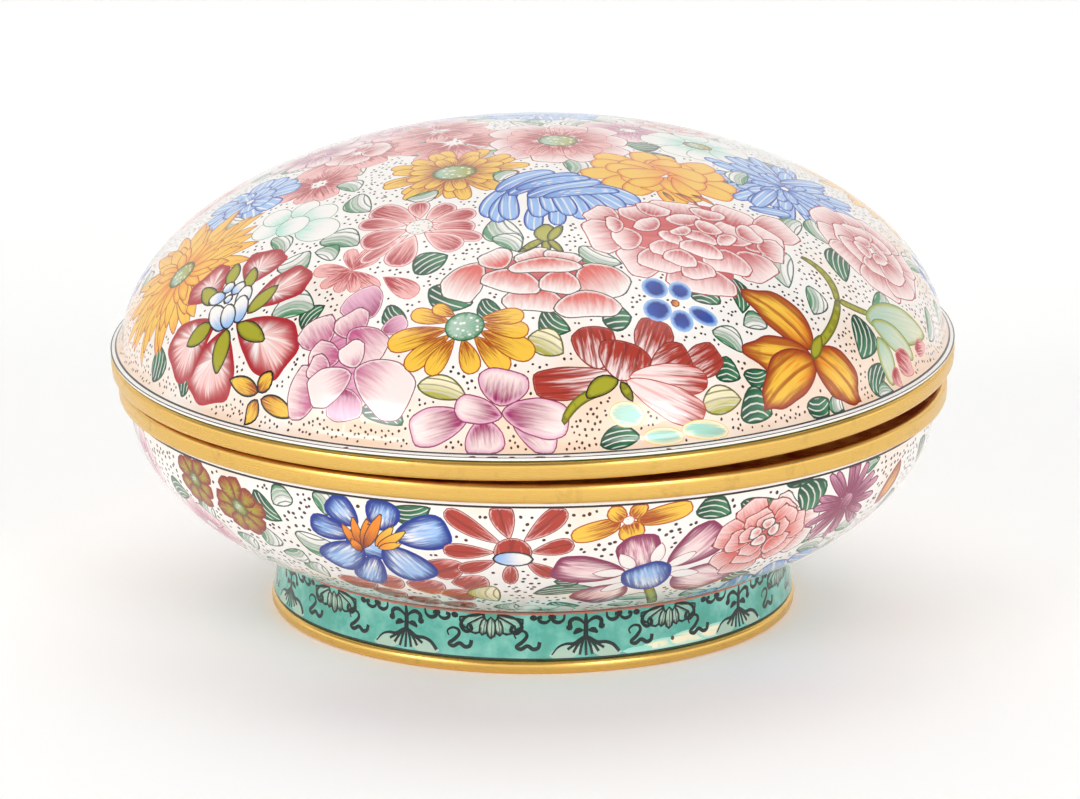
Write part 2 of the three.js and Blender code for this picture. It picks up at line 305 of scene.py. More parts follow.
# The lid laid flat and seen from above, in millimetres from its crown, with the front at the bottom.
# Each row is a shape, a paint, how much the edge ruffles, and marks: base x, y, tip x, y, width and bend.
LID_FRONT = (
    ("leaf", "green_leaf", 0, (
        (-62.5, -30.5, -58, -27.5, 4.6), (-57.5, -39, -52, -38.4, 3.8),
        (-16.3, -40.5, -11.4, -37.6, 4.2, 0.6), (-14.3, -44, -8, -48, 4.4, -0.5),
        (-6.9, -47.2, -3.9, -50.2, 3), (10.2, -50.9, 14.5, -49.6, 4.4, 0.4), (1.6, -49.8, 5.8, -53, 3.6),
        (28.2, -37.8, 30.6, -44.2, 2.8), (31.8, -53.8, 35.8, -51.6, 2.6), (32.8, -59.4, 38.4, -56.8, 4.6),
        (44, -52.8, 47.8, -49.2, 3.8), (48.4, -33, 51.2, -39.6, 4.6), (55.2, -36.6, 57.8, -41.8, 4.2),
        (-26.2, -60.2, -19.8, -64.2, 3.6), (10.8, -68.9, 17.4, -66.8, 3, 0.5),
        (22.6, -43.4, 27.4, -43.6, 4.2), (45.4, -19.5, 46.2, -27.8, 3.8), (27.4, -55.4, 31.6, -54.4, 3.4),
        (-20.4, -45.6, -17.6, -49, 3), (-33.4, -44.6, -29.4, -42, 3),
    )),
    ("leaf", "sage_leaf", 0, (
        (-36.4, -30.8, -31, -29.2, 4.8), (-37.8, -39.3, -31, -41.8, 4.8), (-24, -16.6, -22.4, -23.2, 3.8),
        (-29.8, -27.6, -24, -31.4, 4.2), (-4.9, -29.8, -0.8, -35.6, 4.8), (-5.2, -34.4, -1.4, -38.2, 3.4),
        (6.8, -36.8, 13, -39.8, 3.8), (26.2, -48.8, 31.4, -50.6, 3.2), (36.6, -27.8, 37.2, -35.9, 4.2),
        (53, -23.6, 51.4, -29.4, 4.2), (38.6, -17.2, 37.2, -24, 3.4), (-36.8, -21.8, -35.4, -27.6, 3),
        (59.8, -38.2, 56.8, -41.6, 2.4), (62, -14, 64.5, -20, 3.4), (40.2, -15, 43.5, -20.4, 3.2),
        (-27.2, -11, -24.4, -15.6, 3.2), (-44.2, -7.5, -41, -12.6, 3.4), (29.6, -11.6, 31, -5.4, 3.2),
        (-1.6, -15.6, -4.6, -19.2, 2.8), (57.2, -8, 60.6, -3.4, 3.6), (-27.6, -33.2, -30.6, -29.6, 3),
        (40.4, -33, 41.6, -38.4, 3.4), (34.6, -44.4, 30.8, -46.2, 3), (-12.6, -20.4, -17.4, -21.6, 3),
        (48.6, -47, 51.6, -50.6, 3),
    )),
    ("leaf", "yellow_leaf", 0, (
        (-17, -59.3, -9.6, -62.3, 3.6, 0.5), (-0.4, -54, 4.8, -56.6, 4.6, 0.5),
        (26.2, -60.4, 32.4, -57.2, 4.2, 0.4),
    )),
    ("leaf", "yellow_petal", 0, (
        ring(-52, -16.5, 30, 3, 13.8, 2.9, 4) + ring(-52, -16.5, 24, 2, 10.6, 2.4, 10)
    )),
    ("leaf", "golden_petal", 0, ring(-52, -16.5, 18, 1.6, 7.4, 2, 14)),
    ("round", "olive_seed_head", 0, disc(-52, -16.5, 5, 5)),
    ("spoon", "crimson_edged_petal", 0.5, (
        (-46, -29.5, -48.2, -22.2, 6.4), (-41.2, -31, -36.6, -25.2, 6.2),
        (-41.6, -35.6, -31.2, -34.4, 5.4), (-43.6, -37, -36.3, -49.2, 7.2, 0.5),
        (-45.2, -36.6, -52.4, -45.2, 9, -0.4), (-46.6, -34, -57.2, -33.8, 8.2),
    )),
    ("leaf", "olive_sepal", 0, (
        (-46.6, -30.4, -48.4, -24.8, 2.8), (-44, -28.6, -42.4, -23.8, 2.6),
        (-41.2, -31.8, -39.7, -27.2, 2.5), (-41.6, -36.6, -36.1, -34, 3),
        (-43.4, -37.2, -39.3, -43.4, 2.9), (-45.2, -36.8, -48.9, -42.8, 3.5),
        (-47.6, -34, -53, -33.5, 3.6),
    )),
    ("round", "white_bud_petal", 0, (
        (-44.8, -30.6, -47.6, -28.4, 2.6), (-44.2, -30, -44, -27.6, 2.4),
        (-43.8, -30.8, -41.3, -29.6, 2.4), (-45.8, -36.6, -47.1, -30.6, 3.2),
        (-42.6, -34.9, -41.1, -30.6, 3), (-44.4, -32.2, -44.3, -30.3, 1.9), (-43.2, -37.3, -42, -32.2, 3),
        (-44.9, -37.1, -44.6, -32.2, 2.9),
    )),
    ("leaf", "outlined_yellow_petal", 0, (
        (-42.4, -50.2, -46.8, -45, 2.8), (-42.4, -50.2, -38.9, -48.6, 3), (-42.8, -51, -46.9, -52.8, 2.8),
        (-42.4, -51.2, -37.5, -56.6, 3),
    )),
    ("round", "celadon_petal", 0, (
        (-35, -19.6, -40, -17.6, 5), (-35, -18.4, -37.2, -13.6, 4.4), (-33.4, -18.4, -30.4, -14.6, 4.2),
        (-32.4, -20, -27, -19.2, 5.4), (-33, -21.8, -27.2, -26.2, 5.8), (-36.4, -20.6, -31.2, -20.4, 5),
    )),
    ("spoon", "star_petal", 0, (
        (-25.2, -36.8, -30.8, -34.2, 2.8), (-25.2, -36.8, -25.3, -31.8, 2.3),
        (-25.2, -36.8, -21.2, -34.9, 2.4), (-25.2, -36.8, -27.6, -40.4, 2.4),
        (-25.2, -36.8, -21.6, -42.2, 2.6), (-25.2, -36.8, -30, -38.2, 2.3),
        (-25.2, -36.8, -24.9, -41.4, 2.2), (-25.2, -36.8, -22.3, -32.9, 2.2),
        (-20.8, -39.8, -16, -44.8, 3.4),
    )),
    ("spoon", "cherry_petal", 0, (
        (-15.6, -28.6, -22, -22.8, 4.2), (-15.3, -28, -15.5, -22.9, 2.9), (-14.6, -28.4, -10.6, -25, 3.2),
        (-14, -29.2, -7.4, -27.8, 3.1), (-14, -30.2, -7.6, -32, 3.5), (-14.2, -31.2, -6.6, -34.6, 2.5),
        (-14.8, -31.6, -9.7, -36.4, 3.6), (-16, -31.8, -19.2, -38.2, 4.2),
        (-16.8, -31.4, -23.9, -35.7, 2.4), (-17, -30.2, -23.8, -31.6, 4.2), (-17, -29, -24, -26, 3),
    )),
    ("round", "pale_seed_head", 0, disc(-15.4, -29.9, 4, 3.8)),
    ("spoon", "bell_petal", 0, (
        (5.4, -19.2, 15.4, -24.6, 3.4, 0.6), (5.4, -20.4, 13.2, -26.6, 3.2, 0.5),
        (-0.6, -18.6, -6, -29.6, 3.4, -0.9), (-0.8, -20, -4.6, -31, 3, -0.7),
        (1.6, -24, 0.6, -33.4, 2.6, -0.4), (3.8, -24.6, 3.9, -32, 2.4),
        (-2.4, -20.6, -2.6, -30.6, 2.8, -0.4), (4, -20.2, 10.6, -29.4, 3.4, 0.4),
        (4.4, -21, 7.6, -30.2, 3, 0.3), (0, -19.6, 1.4, -30, 3, 0.4), (1.4, -20, 3.4, -28.6, 3, 0.3),
        (2.4, -20, 5.8, -29.4, 2.8, 0.3),
    )),
    ("strap", "bell_petal", 0, (
        (-4.6, -22.4, 3.4, -15.8, 3, 0.9), (-3, -23.6, 7, -16.6, 3, 0.8), (-0.4, -24.4, 10, -18.6, 3, 0.7),
    )),
    ("strap", "dotted_bell_petal", 0, (
        (-2, -22, 8.6, -17.6, 2.6, 0.6), (1.8, -24.4, 12.6, -21.2, 2.6, 0.6),
    )),
    ("leaf", "olive_sepal", 0, (
        (2.2, -35, -1.7, -38.4, 1.5), (2.2, -35, 2.4, -39, 1.5), (2.4, -35, 4.8, -38.6, 1.4),
        (2, -36, 2.4, -31.4, 3.4), (2.6, -35.8, 4.6, -31.6, 1.8),
    )),
    ("round", "rose_shade", 0, (
        (11, -32, 33, -30.6, 13), (14, -26, 35, -24, 6.4), (15, -37, 29, -37.6, 7),
    )),
    ("fan", "rose_petal", 0.35, (
        (12.4, -30.4, 8.2, -27.4, 4.2), (16, -29.6, 14.6, -25.2, 4.8), (21, -27.2, 20.6, -22.2, 7),
        (27.8, -26, 29.4, -20.6, 5.6), (32, -26, 37.2, -20.6, 5.6), (30.6, -30.6, 34.6, -24, 5.2),
        (29.4, -31.6, 34.2, -35.8, 5.8), (13.6, -32.6, 7.8, -34.6, 6.6), (24, -37, 24.6, -42.8, 8.6),
        (18.6, -36.6, 13, -40, 5.6), (18.4, -34.6, 18.2, -40.2, 5.4), (27.6, -32, 28.2, -37.4, 6),
        (22.8, -36.2, 24.4, -40, 4.4), (15.8, -33, 11.6, -34.4, 4.6), (17.8, -31, 15.4, -28.8, 4),
        (19.8, -32.6, 19, -37, 4.4), (26.8, -30.6, 29.6, -26, 5), (22.4, -28.6, 21, -25.6, 4.6),
        (20.6, -30.6, 19.2, -33.2, 3.4), (24.4, -31.2, 24, -35.2, 5.4), (24, -29, 23.6, -31.8, 4.8),
        (24.2, -29.4, 25.6, -26.4, 3.6), (16.8, -27.6, 17.6, -24, 4.2), (25, -25.8, 25, -22.6, 4.4),
        (32, -29, 36.4, -28.4, 4.4), (21.4, -34.4, 21, -38.2, 4.2), (13.2, -30.4, 10.6, -31, 3.6),
        (22, -31, 20.6, -29.2, 3.2), (26.6, -28.8, 28.6, -30.4, 3.4), (29.4, -28, 32.2, -25.4, 3.8),
    )),
    ("round", "rose_shade", 0, ((-8, -42.6, 12, -43, 6.6), (-1, -46.4, 11, -47, 5))),
    ("fan", "coral_petal", 0.3, (
        (-6.8, -40, -10.8, -47, 5.6, -0.4), (-3.6, -41.6, -5.6, -37.6, 4.8), (1.2, -40.8, -0.4, -37.8, 5),
        (4.2, -40.8, 4.8, -38, 5.4), (7.6, -40.4, 11.4, -47, 7.6, 0.4), (0.6, -45, 0.2, -49.9, 8.2),
        (7.8, -45.6, 8.4, -50.6, 9), (-1.8, -41.6, -3.2, -46.2, 8.2), (4.4, -41.8, 4, -46.6, 5.6),
        (2, -39.2, 2.2, -42.6, 9.8),
    )),
    ("round", "mauve_shade", 0, ((-34, -53, -21.6, -52, 9), (-31, -57.4, -24.4, -57.6, 5))),
    ("fan", "deep_mauve_petal", 0.2, (
        (-22.4, -47, -25, -41.6, 6.6), (-28, -56.4, -29.4, -60.8, 6.4), (-21.6, -50, -17.6, -48.8, 3.2),
    )),
    ("fan", "mauve_petal", 0.3, (
        (-30.2, -49.4, -31.6, -44, 5.6), (-32.6, -56, -37, -52.8, 7), (-25, -49.6, -26.2, -44.8, 5),
        (-28, -52, -32.6, -49.2, 4.2), (-26.2, -48, -22, -54, 5.4), (-30, -53.4, -33, -50.6, 3.6),
    )),
    ("fan", "pale_mauve_petal", 0.3, (
        (-26, -54.2, -19, -62, 8, 0.4), (-26.6, -54.8, -34.2, -55.2, 5.6),
        (-25.6, -54.2, -26.6, -49.9, 4.4),
    )),
    ("spoon", "orange_petal", 0, (
        (-11.4, -50.6, -17, -47.9, 2.8), (-10.6, -49.8, -13.8, -47.4, 2.3),
        (-11.6, -51.7, -20.8, -52.4, 3.7), (-11.4, -52.6, -18.5, -56.6, 3.3),
        (-10.8, -53.2, -15.2, -58.2, 3.1), (-9.8, -53.4, -8.4, -59.1, 3.2),
        (-8.2, -53.2, -3.4, -59.2, 3.5), (-7.4, -52.6, 0.5, -57, 3.9), (-7.2, -51.6, -0.2, -53.2, 3.1),
        (-7.3, -50.7, -0.8, -50.4, 2.9),
    )),
    ("round", "aqua_seed_head", 0, disc(-9.4, -51.6, 5.8, 4.8)),
    ("fan", "orchid_petal", 0.15, (
        (-4.8, -64, -3.6, -58.8, 7.8), (-9.6, -65, -19.2, -65.6, 5.4), (-3, -66, 3.6, -70.2, 4.6, 0.4),
        (-4.6, -64.8, 5.8, -66.4, 5.6), (-7.6, -65.4, -7.4, -70.6, 6.6), (-4.4, -65.4, -11.6, -63.2, 4),
    )),
    ("fan", "brick_petal", 0.2, (
        (10, -58.6, 8.6, -52, 6.6), (16.6, -56.6, 18.4, -49.4, 5.8), (22, -57.4, 27.6, -51.8, 5),
        (17.6, -58, 23, -53.4, 5.4), (12.8, -59, 0.2, -61.2, 4.8, 0.6), (13, -59.8, 14, -53.9, 8),
    )),
    ("fan", "pale_brick_petal", 0.2, ((14.4, -59, 26.4, -56.8, 4.4), (14, -59.6, 27, -61.8, 5, -0.4))),
    ("line", "olive_stalk", 0, ((10.6, -61.6, 4.8, -66.4, 1.5, -0.9),)),
    ("leaf", "olive_sepal", 0, ((13, -59.6, 8, -62.8, 2.8, -0.4), (13.2, -59.8, 15.4, -62.4, 1.7))),
    ("round", "aqua_bud_petal", 0, (
        (17.4, -64, 11.8, -64.4, 3.6), (17.6, -66.8, 24.4, -65.2, 2.6), (23.6, -64.4, 31.6, -62.2, 2.8),
    )),
    ("round", "cobalt_spot_petal", 0, (
        (19.2, -44.8, 16, -42.6, 3.8), (21, -45, 21.4, -41.6, 3.4), (20, -46.6, 16.2, -48.6, 3.9),
        (21.2, -46.8, 22.2, -50.4, 3.5), (22.6, -46.2, 27, -47.4, 2.9),
    )),
    ("round", "brown_stamen", 0, disc(20.6, -45.8, 1.4, 1.4)),
    ("line", "olive_stalk", 0, (
        (42.6, -43.8, 45.2, -32.6, 1.5, -0.9), (45.2, -33.2, 38.8, -27.2, 1.5, -1.6),
        (45.2, -32.6, 51, -30.6, 1.3, -0.3),
    )),
    ("leaf", "sage_leaf", 0, (
        (66, -5, 66.8, -10.4, 3), (58.4, 3.6, 61.4, 7.4, 3), (65.8, 3.4, 67.6, 8.4, 3),
    )),
    ("round", "cobalt_spot_petal", 0, ring(62.4, -0.8, 5, 1.2, 4, 3, 20)),
    ("round", "brown_stamen", 0, disc(62.4, -0.8, 1.4, 1.4)),
    ("leaf", "green_lily_petal", 0.1, (
        (50.4, -32.2, 63, -21, 6.4), (53, -33.4, 59.6, -37, 4.2), (51.4, -32, 62.2, -28.2, 4.4),
    )),
    ("leaf", "star_petal", 0, (
        (61.4, -26.6, 64, -22.4, 2.6), (57.4, -32.6, 63.2, -29.8, 3.8), (58, -34.6, 61.2, -35.6, 2.8),
    )),
    ("leaf", "lily_petal", 0.5, (
        (42.4, -44.2, 29.8, -40, 6.8, -0.8), (42.6, -45.6, 30.8, -50.2, 6, 0.5),
        (43, -45.4, 36.4, -57, 7.2, -0.7), (42.2, -45, 53.8, -45.4, 7.2, 0.4),
    )),
    ("leaf", "olive_stalk", 0, ((42.6, -45.8, 43.2, -41, 2),)),
    ("fan", "rose_petal", 0.3, (
        ring(50.4, -14, 9, 3.5, 9.6, 6.6, 5) + ring(50.4, -14, 7, 1.5, 6.2, 5, 28)
        + ring(50.4, -14, 4, 0.4, 3.2, 3.2, 50)
    )),
)
# Flowers round the crown, painted over those of the back and under those of the front.
LID_CROWN = (
    ("leaf", "sage_leaf", 0, ring(4, -2.6, 7, 8, 14.5, 4, 18) + ring(-24, 3, 7, 7, 13, 3.8, 9)),
    ("leaf", "green_leaf", 0, ring(25, -1, 7, 6.5, 12.5, 4, 25) + ring(-4, 2.6, 6, 9, 16, 4, 60)),
    ("leaf", "sage_leaf", 0, ring(2, 20, 7, 8, 13, 4, 10) + ring(-32, 14, 6, 7, 12, 4, 30)),
    ("fan", "star_petal", 0.2, ring(-24.6, 2, 9, 2, 9.4, 5, 8)),
    ("fan", "rose_petal", 0.3, ring(-24.6, 2, 6, 0.6, 5.4, 4, 30)),
    ("fan", "mauve_petal", 0.2, ring(-17.6, 14, 9, 1.4, 8.2, 5, 8) + ring(-17.6, 14, 6, 0.6, 4.6, 3.6, 30)),
    ("fan", "star_petal", 0.2, ring(-30, -8.6, 8, 1, 6.4, 4, 16)),
    ("spoon", "star_petal", 0.2, ring(-10.6, -1.4, 11, 1, 8.6, 3.4, 6) + ring(-13, 7, 10, 1, 7.6, 3.4, 16)),
    ("fan", "mauve_petal", 0.2, ring(14, 6.4, 8, 1, 7, 4.4, 4)),
    ("fan", "orchid_petal", 0.2, ring(-30.6, 8.6, 8, 1, 7.4, 4, 4)),
    ("fan", "bell_petal", 0, ring(-40.6, -4.6, 11, 2, 7.8, 3.6, 12) + ring(-40.6, -4.6, 7, 0.5, 4.4, 3, 4)),
    ("fan", "bell_petal", 0, ring(2, 20, 12, 2, 9, 4, 12) + ring(2, 20, 7, 0.5, 5, 3.2, 4)),
    ("fan", "celadon_petal", 0.2, ring(24, 3, 8, 2, 8, 5.4, 12)),
    ("round", "olive_seed_head", 0, disc(24, 3, 4.4, 4)),
    ("fan", "coral_petal", 0.2, ring(20.4, 16, 8, 1.4, 7.4, 5, 20) + ring(20.4, 16, 5, 0.5, 4.4, 3.6, 40)),
    ("strap", "bell_petal", 0, (
        ring(36.6, -7, 24, 2.5, 11.8, 2.6, 6) + ring(36.6, -7, 18, 1.5, 8.6, 2.3, 12)
    )),
    ("strap", "dotted_bell_petal", 0, ring(36.6, -7, 12, 0.5, 5.6, 2.2, 20)),
    ("strap", "bell_petal", 0, (
        (31, -18.8, 37.4, -16.4, 2.2), (36, -5, 43, 4, 2.4), (35, -9, 32, -17.6, 2.6),
    )),
    ("fan", "rose_petal", 0.3, ring(4, -2.6, 10, 3, 10.4, 4.6, 10)),
    ("spoon", "star_petal", 0.2, ring(4, -2.6, 10, 2, 7.6, 3.4, 28)),
    ("round", "olive_seed_head", 0, disc(4, -2.6, 5.8, 6)),
    ("strap", "golden_petal", 0, (
        ring(18.4, -14, 13, 3, 11, 4.4, 0, 0.8) + ring(18.4, -14, 9, 1, 7.4, 4.2, 17, 0.8)
    )),
    ("spoon", "golden_petal", 0, (
        (20, -12, 12.4, -15.4, 4.2, 0.6), (17, -11, 25, -13.4, 4, 0.8), (19, -14.6, 14, -18.6, 3.2, 0.5),
        (20, -14, 23.6, -19.8, 3.2, -0.5), (16.6, -10.4, 21.4, -8.6, 3.4, 0.5),
    )),
    ("leaf", "brown_stamen", 0, (
        (20.4, -19.4, 23.8, -22.2, 1, 0.3), (22.6, -19, 26.2, -21, 1, 0.3),
        (18.6, -19.6, 20.4, -22.4, 0.9),
    )),
    ("strap", "orange_petal", 0, (
        ring(-10.5, -14.6, 21, 3, 10, 2.6, 8, 0.9) + ring(-10.5, -14.6, 15, 2, 7, 2.2, 20, 0.9)
    )),
    ("round", "olive_seed_head", 0, disc(-10.5, -14.6, 6.4, 5.4)),
)
# The bowl laid flat and seen from below, with the front at the top. Its rim has its real size, and the rest
# shrinks towards the foot so that shapes stay true.
BOWL_FRONT = (
    ("leaf", "green_leaf", 0, (
        (-18.8, 52.2, -13.4, 54.8, 2.8), (21.2, 50.8, 25.6, 47.6, 3.4), (27.2, 48.2, 31.8, 44.8, 2.8),
        (36.2, 43.4, 34.4, 37.8, 4.6), (-36.8, 41.2, -31.2, 40.6, 3.2), (0, 40.4, 7.4, 41, 2.8),
        (2, 37, 5.4, 34, 3), (-1.4, 33.6, 4.4, 31.2, 2.6), (22.8, 34.6, 25.2, 30.6, 2.8),
        (-21.4, 55, -26, 53, 3), (2.4, 43.8, 6, 44.2, 2.2), (34.2, 45.6, 38, 42.2, 3.2),
        (-42, 40.6, -39.6, 44.4, 3), (-47, 34.4, -49.4, 30.6, 3), (16.6, 56, 21.6, 54.2, 2.6),
    )),
    ("leaf", "sage_leaf", 0, (
        (-29.4, 48.8, -26, 46.6, 3.2), (-29.2, 39.8, -24.2, 42.4, 4.2), (-33.4, 36.8, -31.4, 32.6, 3.2),
        (-34, 31.6, -32.4, 27.6, 3), (31.6, 31, 33.6, 26, 3.6), (-25.4, 35.6, -23.4, 31.4, 3),
        (8.6, 33.6, 10.4, 30.8, 2.6), (-30.6, 27.8, -27.6, 24.8, 2.8), (44, 33.4, 47.4, 31, 2.8),
        (-2.4, 36.4, -1.8, 32, 2.8), (36.8, 28.4, 38, 24.2, 3), (-31.4, 45.4, -33.6, 42, 3.4),
        (9.4, 36.2, 13.6, 33.4, 2.8), (17.4, 32.8, 19.8, 29.2, 2.6), (-27.4, 36.8, -29.6, 33, 3),
        (32.8, 35, 35.6, 31.6, 3), (45.6, 38.4, 47.8, 34.6, 3.2), (-40.6, 30, -38.6, 26.4, 3),
    )),
    ("fan", "iron_red_petal", 0.2, (
        (-18, 36.2, -21.8, 32.2, 4.2), (-14.6, 35.2, -17.6, 31.6, 4.2), (-10.8, 35, -13.4, 31, 4.2),
        (-7, 35.6, -9.2, 31.4, 4), (-15.4, 40, -18, 36.2, 4.6), (-10.6, 41.6, -13.4, 37.4, 4.6),
        (-6.8, 40.2, -9.6, 36.6, 4.4), (-5.6, 44.6, -8.2, 40.6, 4.4), (-8.4, 47, -12, 43.4, 4.6),
    )),
    ("leaf", "yellow_leaf", 0, ((-4.8, 42.4, -4, 36.8, 4),)),
    ("round", "gentian_petal", 0, disc(-20, 45.4, 6.4, 5)),
    ("fan", "gentian_petal", 0, (
        (-19.4, 48.6, -19.6, 53.4, 5), (-17.2, 48.4, -10.6, 52.4, 5.6), (-18, 46.6, -12.2, 41.6, 6.4),
        (-18.8, 44, -19, 35.8, 4), (-21, 45, -23.8, 37.6, 5.4), (-22.4, 45.8, -28, 44, 4),
        (-22, 47.8, -27, 49.4, 4.4),
    )),
    ("leaf", "brown_stamen", 0, (
        (-20.8, 44, -24.2, 47, 1.5), (-20.6, 44.2, -23.2, 49, 1.5), (-20.4, 44.2, -21.2, 50, 1.5),
        (-20.4, 44.4, -19.6, 51.6, 1.6), (-20.6, 43.4, -22.4, 45.2, 1.6),
    )),
    ("leaf", "yellow_stamen", 0, (
        (-19.2, 45.6, -17.6, 50.4, 1.4), (-19, 45.6, -15.8, 50.4, 1.4), (-18.8, 45.4, -16, 48, 1.3),
    )),
    ("spoon", "iron_red_petal", 0, (
        (-3.6, 51.2, -11.6, 55, 2.8), (-2.8, 52, -4.6, 57.4, 3.4), (-1.2, 51.8, 4.4, 56.6, 3.2),
        (-4.4, 49.8, -11, 48.8, 2.8), (-0.4, 50, 5.2, 51.2, 2.8), (-4.2, 48.4, -8.8, 45.2, 2.6),
        (-0.8, 48.4, 2.8, 45, 2.5),
    )),
    ("round", "iron_red_petal", 0, ((-2.6, 47.6, -2.6, 43, 2), (-2.4, 47.6, -2.4, 52.4, 4.8))),
    ("round", "white_bud_petal", 0, ((-4.9, 48.6, 0.2, 48.8, 2.8),)),
    ("strap", "orange_petal", 0, (
        (11.4, 53.2, 4.8, 52.2, 3), (13.4, 52.9, 21.2, 51.8, 2.9), (12.4, 53, 12.6, 50, 3.6),
        (12, 53.4, 10.2, 55.6, 2.6), (12.8, 53.4, 15.2, 55.2, 2.4),
    )),
    ("round", "pale_seed_head", 0, disc(12.4, 53.2, 1.8, 1.5)),
    ("fan", "plum_edged_petal", 0.2, (
        (10.6, 41, 5.4, 36.6, 6.6), (16.6, 40.4, 22.4, 33.8, 8.2), (13, 43.6, 13, 50.6, 5.8),
        (11, 44, 2.4, 47.2, 5.8), (16, 43.2, 24, 46.4, 6.6),
    )),
    ("leaf", "white_lens", 0, (
        (11, 44, 7, 45, 2), (12, 44.4, 10.6, 48.2, 1.9), (14.4, 44.4, 16, 48.2, 1.9),
        (15.8, 43, 20, 44.2, 2), (11, 41.4, 7.6, 39.6, 1.9), (16, 41.2, 19.6, 38.6, 2),
    )),
    ("line", "olive_stalk", 0, ((13.3, 38.6, 13.4, 29, 1.3, 0.2),)),
    ("fan", "gentian_petal", 0.2, ((13.6, 37.6, 13.2, 45, 6.2),)),
    ("round", "rose_shade", 0, disc(28, 40.4, 11, 11)),
    ("fan", "coral_petal", 0.4, (
        (30.5, 38.7, 35.4, 35, 5), (30, 37, 32.6, 32.6, 4.6), (30, 42.4, 34.4, 42.6, 4.4),
    )),
    ("fan", "deep_coral_petal", 0.4, (
        ring(27.6, 40.2, 7, 2.6, 7, 5.2, 30) + ring(28, 40.4, 5, 1.4, 5.2, 4.4, 8)
    )),
    ("fan", "deep_coral_petal", 0.4, (
        (28, 40, 24.8, 38.4, 3.4), (27.8, 41, 25.6, 43.2, 3.2), (29, 40.4, 31.8, 39.2, 3.4),
        (28.4, 41.2, 29.8, 43.8, 3),
    )),
    ("fan", "coral_petal", 0.2, ring(28.6, 41, 4, 0.3, 2.4, 2.2, 50)),
    ("strap", "plum_petal", 0, ring(39.6, 33, 17, 1, 6.6, 1.5, 5)),
    ("round", "plum_petal", 0, disc(39.6, 33, 3, 2.8)),
    ("leaf", "lily_petal", 0, ((42.2, 22.8, 49, 24.2, 4),)),
    ("fan", "brown_olive_petal", 0.2, (
        ring(-37, 36, 9, 0.8, 4.6, 2.9, 10) + ring(-44, 30.8, 8, 0.8, 4, 2.7, 30)
    )),
    ("round", "olive_seed_head", 0, disc(-37, 36, 3, 2.6) + disc(-44, 30.8, 2.6, 2.4)),
    ("fan", "bell_petal", 0, (
        (24, 31.6, 23, 24.8, 4), (28, 31, 27.6, 23.6, 4.4), (30.6, 29, 32.4, 22.6, 3.6),
        (20.4, 29.6, 18.6, 24.8, 3.4),
    )),
    ("fan", "mauve_petal", 0.2, (
        ring(-38.6, 22.6, 7, 0.8, 5.2, 4.2, 10) + ring(-50, 15, 7, 0.8, 4.6, 3.6, 4)
    )),
    ("fan", "celadon_petal", 0.2, ring(1.2, 32.4, 6, 0.6, 3.4, 3, 20)),
    ("strap", "golden_petal", 0, ring(47, 9, 11, 1, 5.4, 2.8, 3)),
    ("round", "aqua_seed_head", 0, disc(47, 9, 2.6, 2.6)),
    ("fan", "rose_petal", 0.2, ring(38, 14.6, 7, 0.8, 5.4, 4.4, 16) + ring(38, 14.6, 4, 0.4, 3, 3, 40)),
    ("spoon", "star_petal", 0, ring(39, 0.4, 8, 0.6, 4, 2.2, 10)),
    ("leaf", "green_leaf", 0, (
        (42.6, 3.4, 40, 6.8, 3), (36.4, -3, 38.6, -7, 3), (55, -8, 52, -11, 2.8),
        (34, 5.4, 34.8, 9.6, 2.8),
    )),
    ("fan", "cobalt_spot_petal", 0, ring(-48.6, 2.6, 5, 1.2, 4.4, 3, 12)),
    ("round", "brown_stamen", 0, disc(-48.6, 2.6, 1.5, 1.5)),
    ("leaf", "green_leaf", 0, (
        (52.6, 17.6, 49.2, 14, 3), (41.8, 18.4, 45.2, 20.4, 3), (-44.6, 21, -43.2, 25.6, 3.2),
        (-52, 9, -47.6, 8, 3),
    )),
    ("leaf", "sage_leaf", 0, (
        (50.8, 3.6, 47.4, 1, 3), (-44.4, 11.4, -40.4, 14.6, 3.2), (33.6, 20.6, 35.8, 24, 2.8),
        (-38.6, 5, -40.6, 9.8, 3),
    )),
)

# An outline is worked out in fine steps and then thinned to points this many millimetres apart.
OUTLINE_STEPS = 240
OUTLINE_SPACING = 0.76
FEWEST_POINTS = 7
MOST_POINTS = 54
# Points within a mark: how far inside its outline, and at most which share of the way to its middle line.
ROW_INSET = 0.32
ROW_SHARE = 0.45
SECOND_ROW_SHARE = 0.62
# Marks wider than these, in millimetres, get points within, and a second row of them.
ONE_ROW_WIDTH = 0.8
TWO_ROW_WIDTH = 2
LONG_MARK = 4


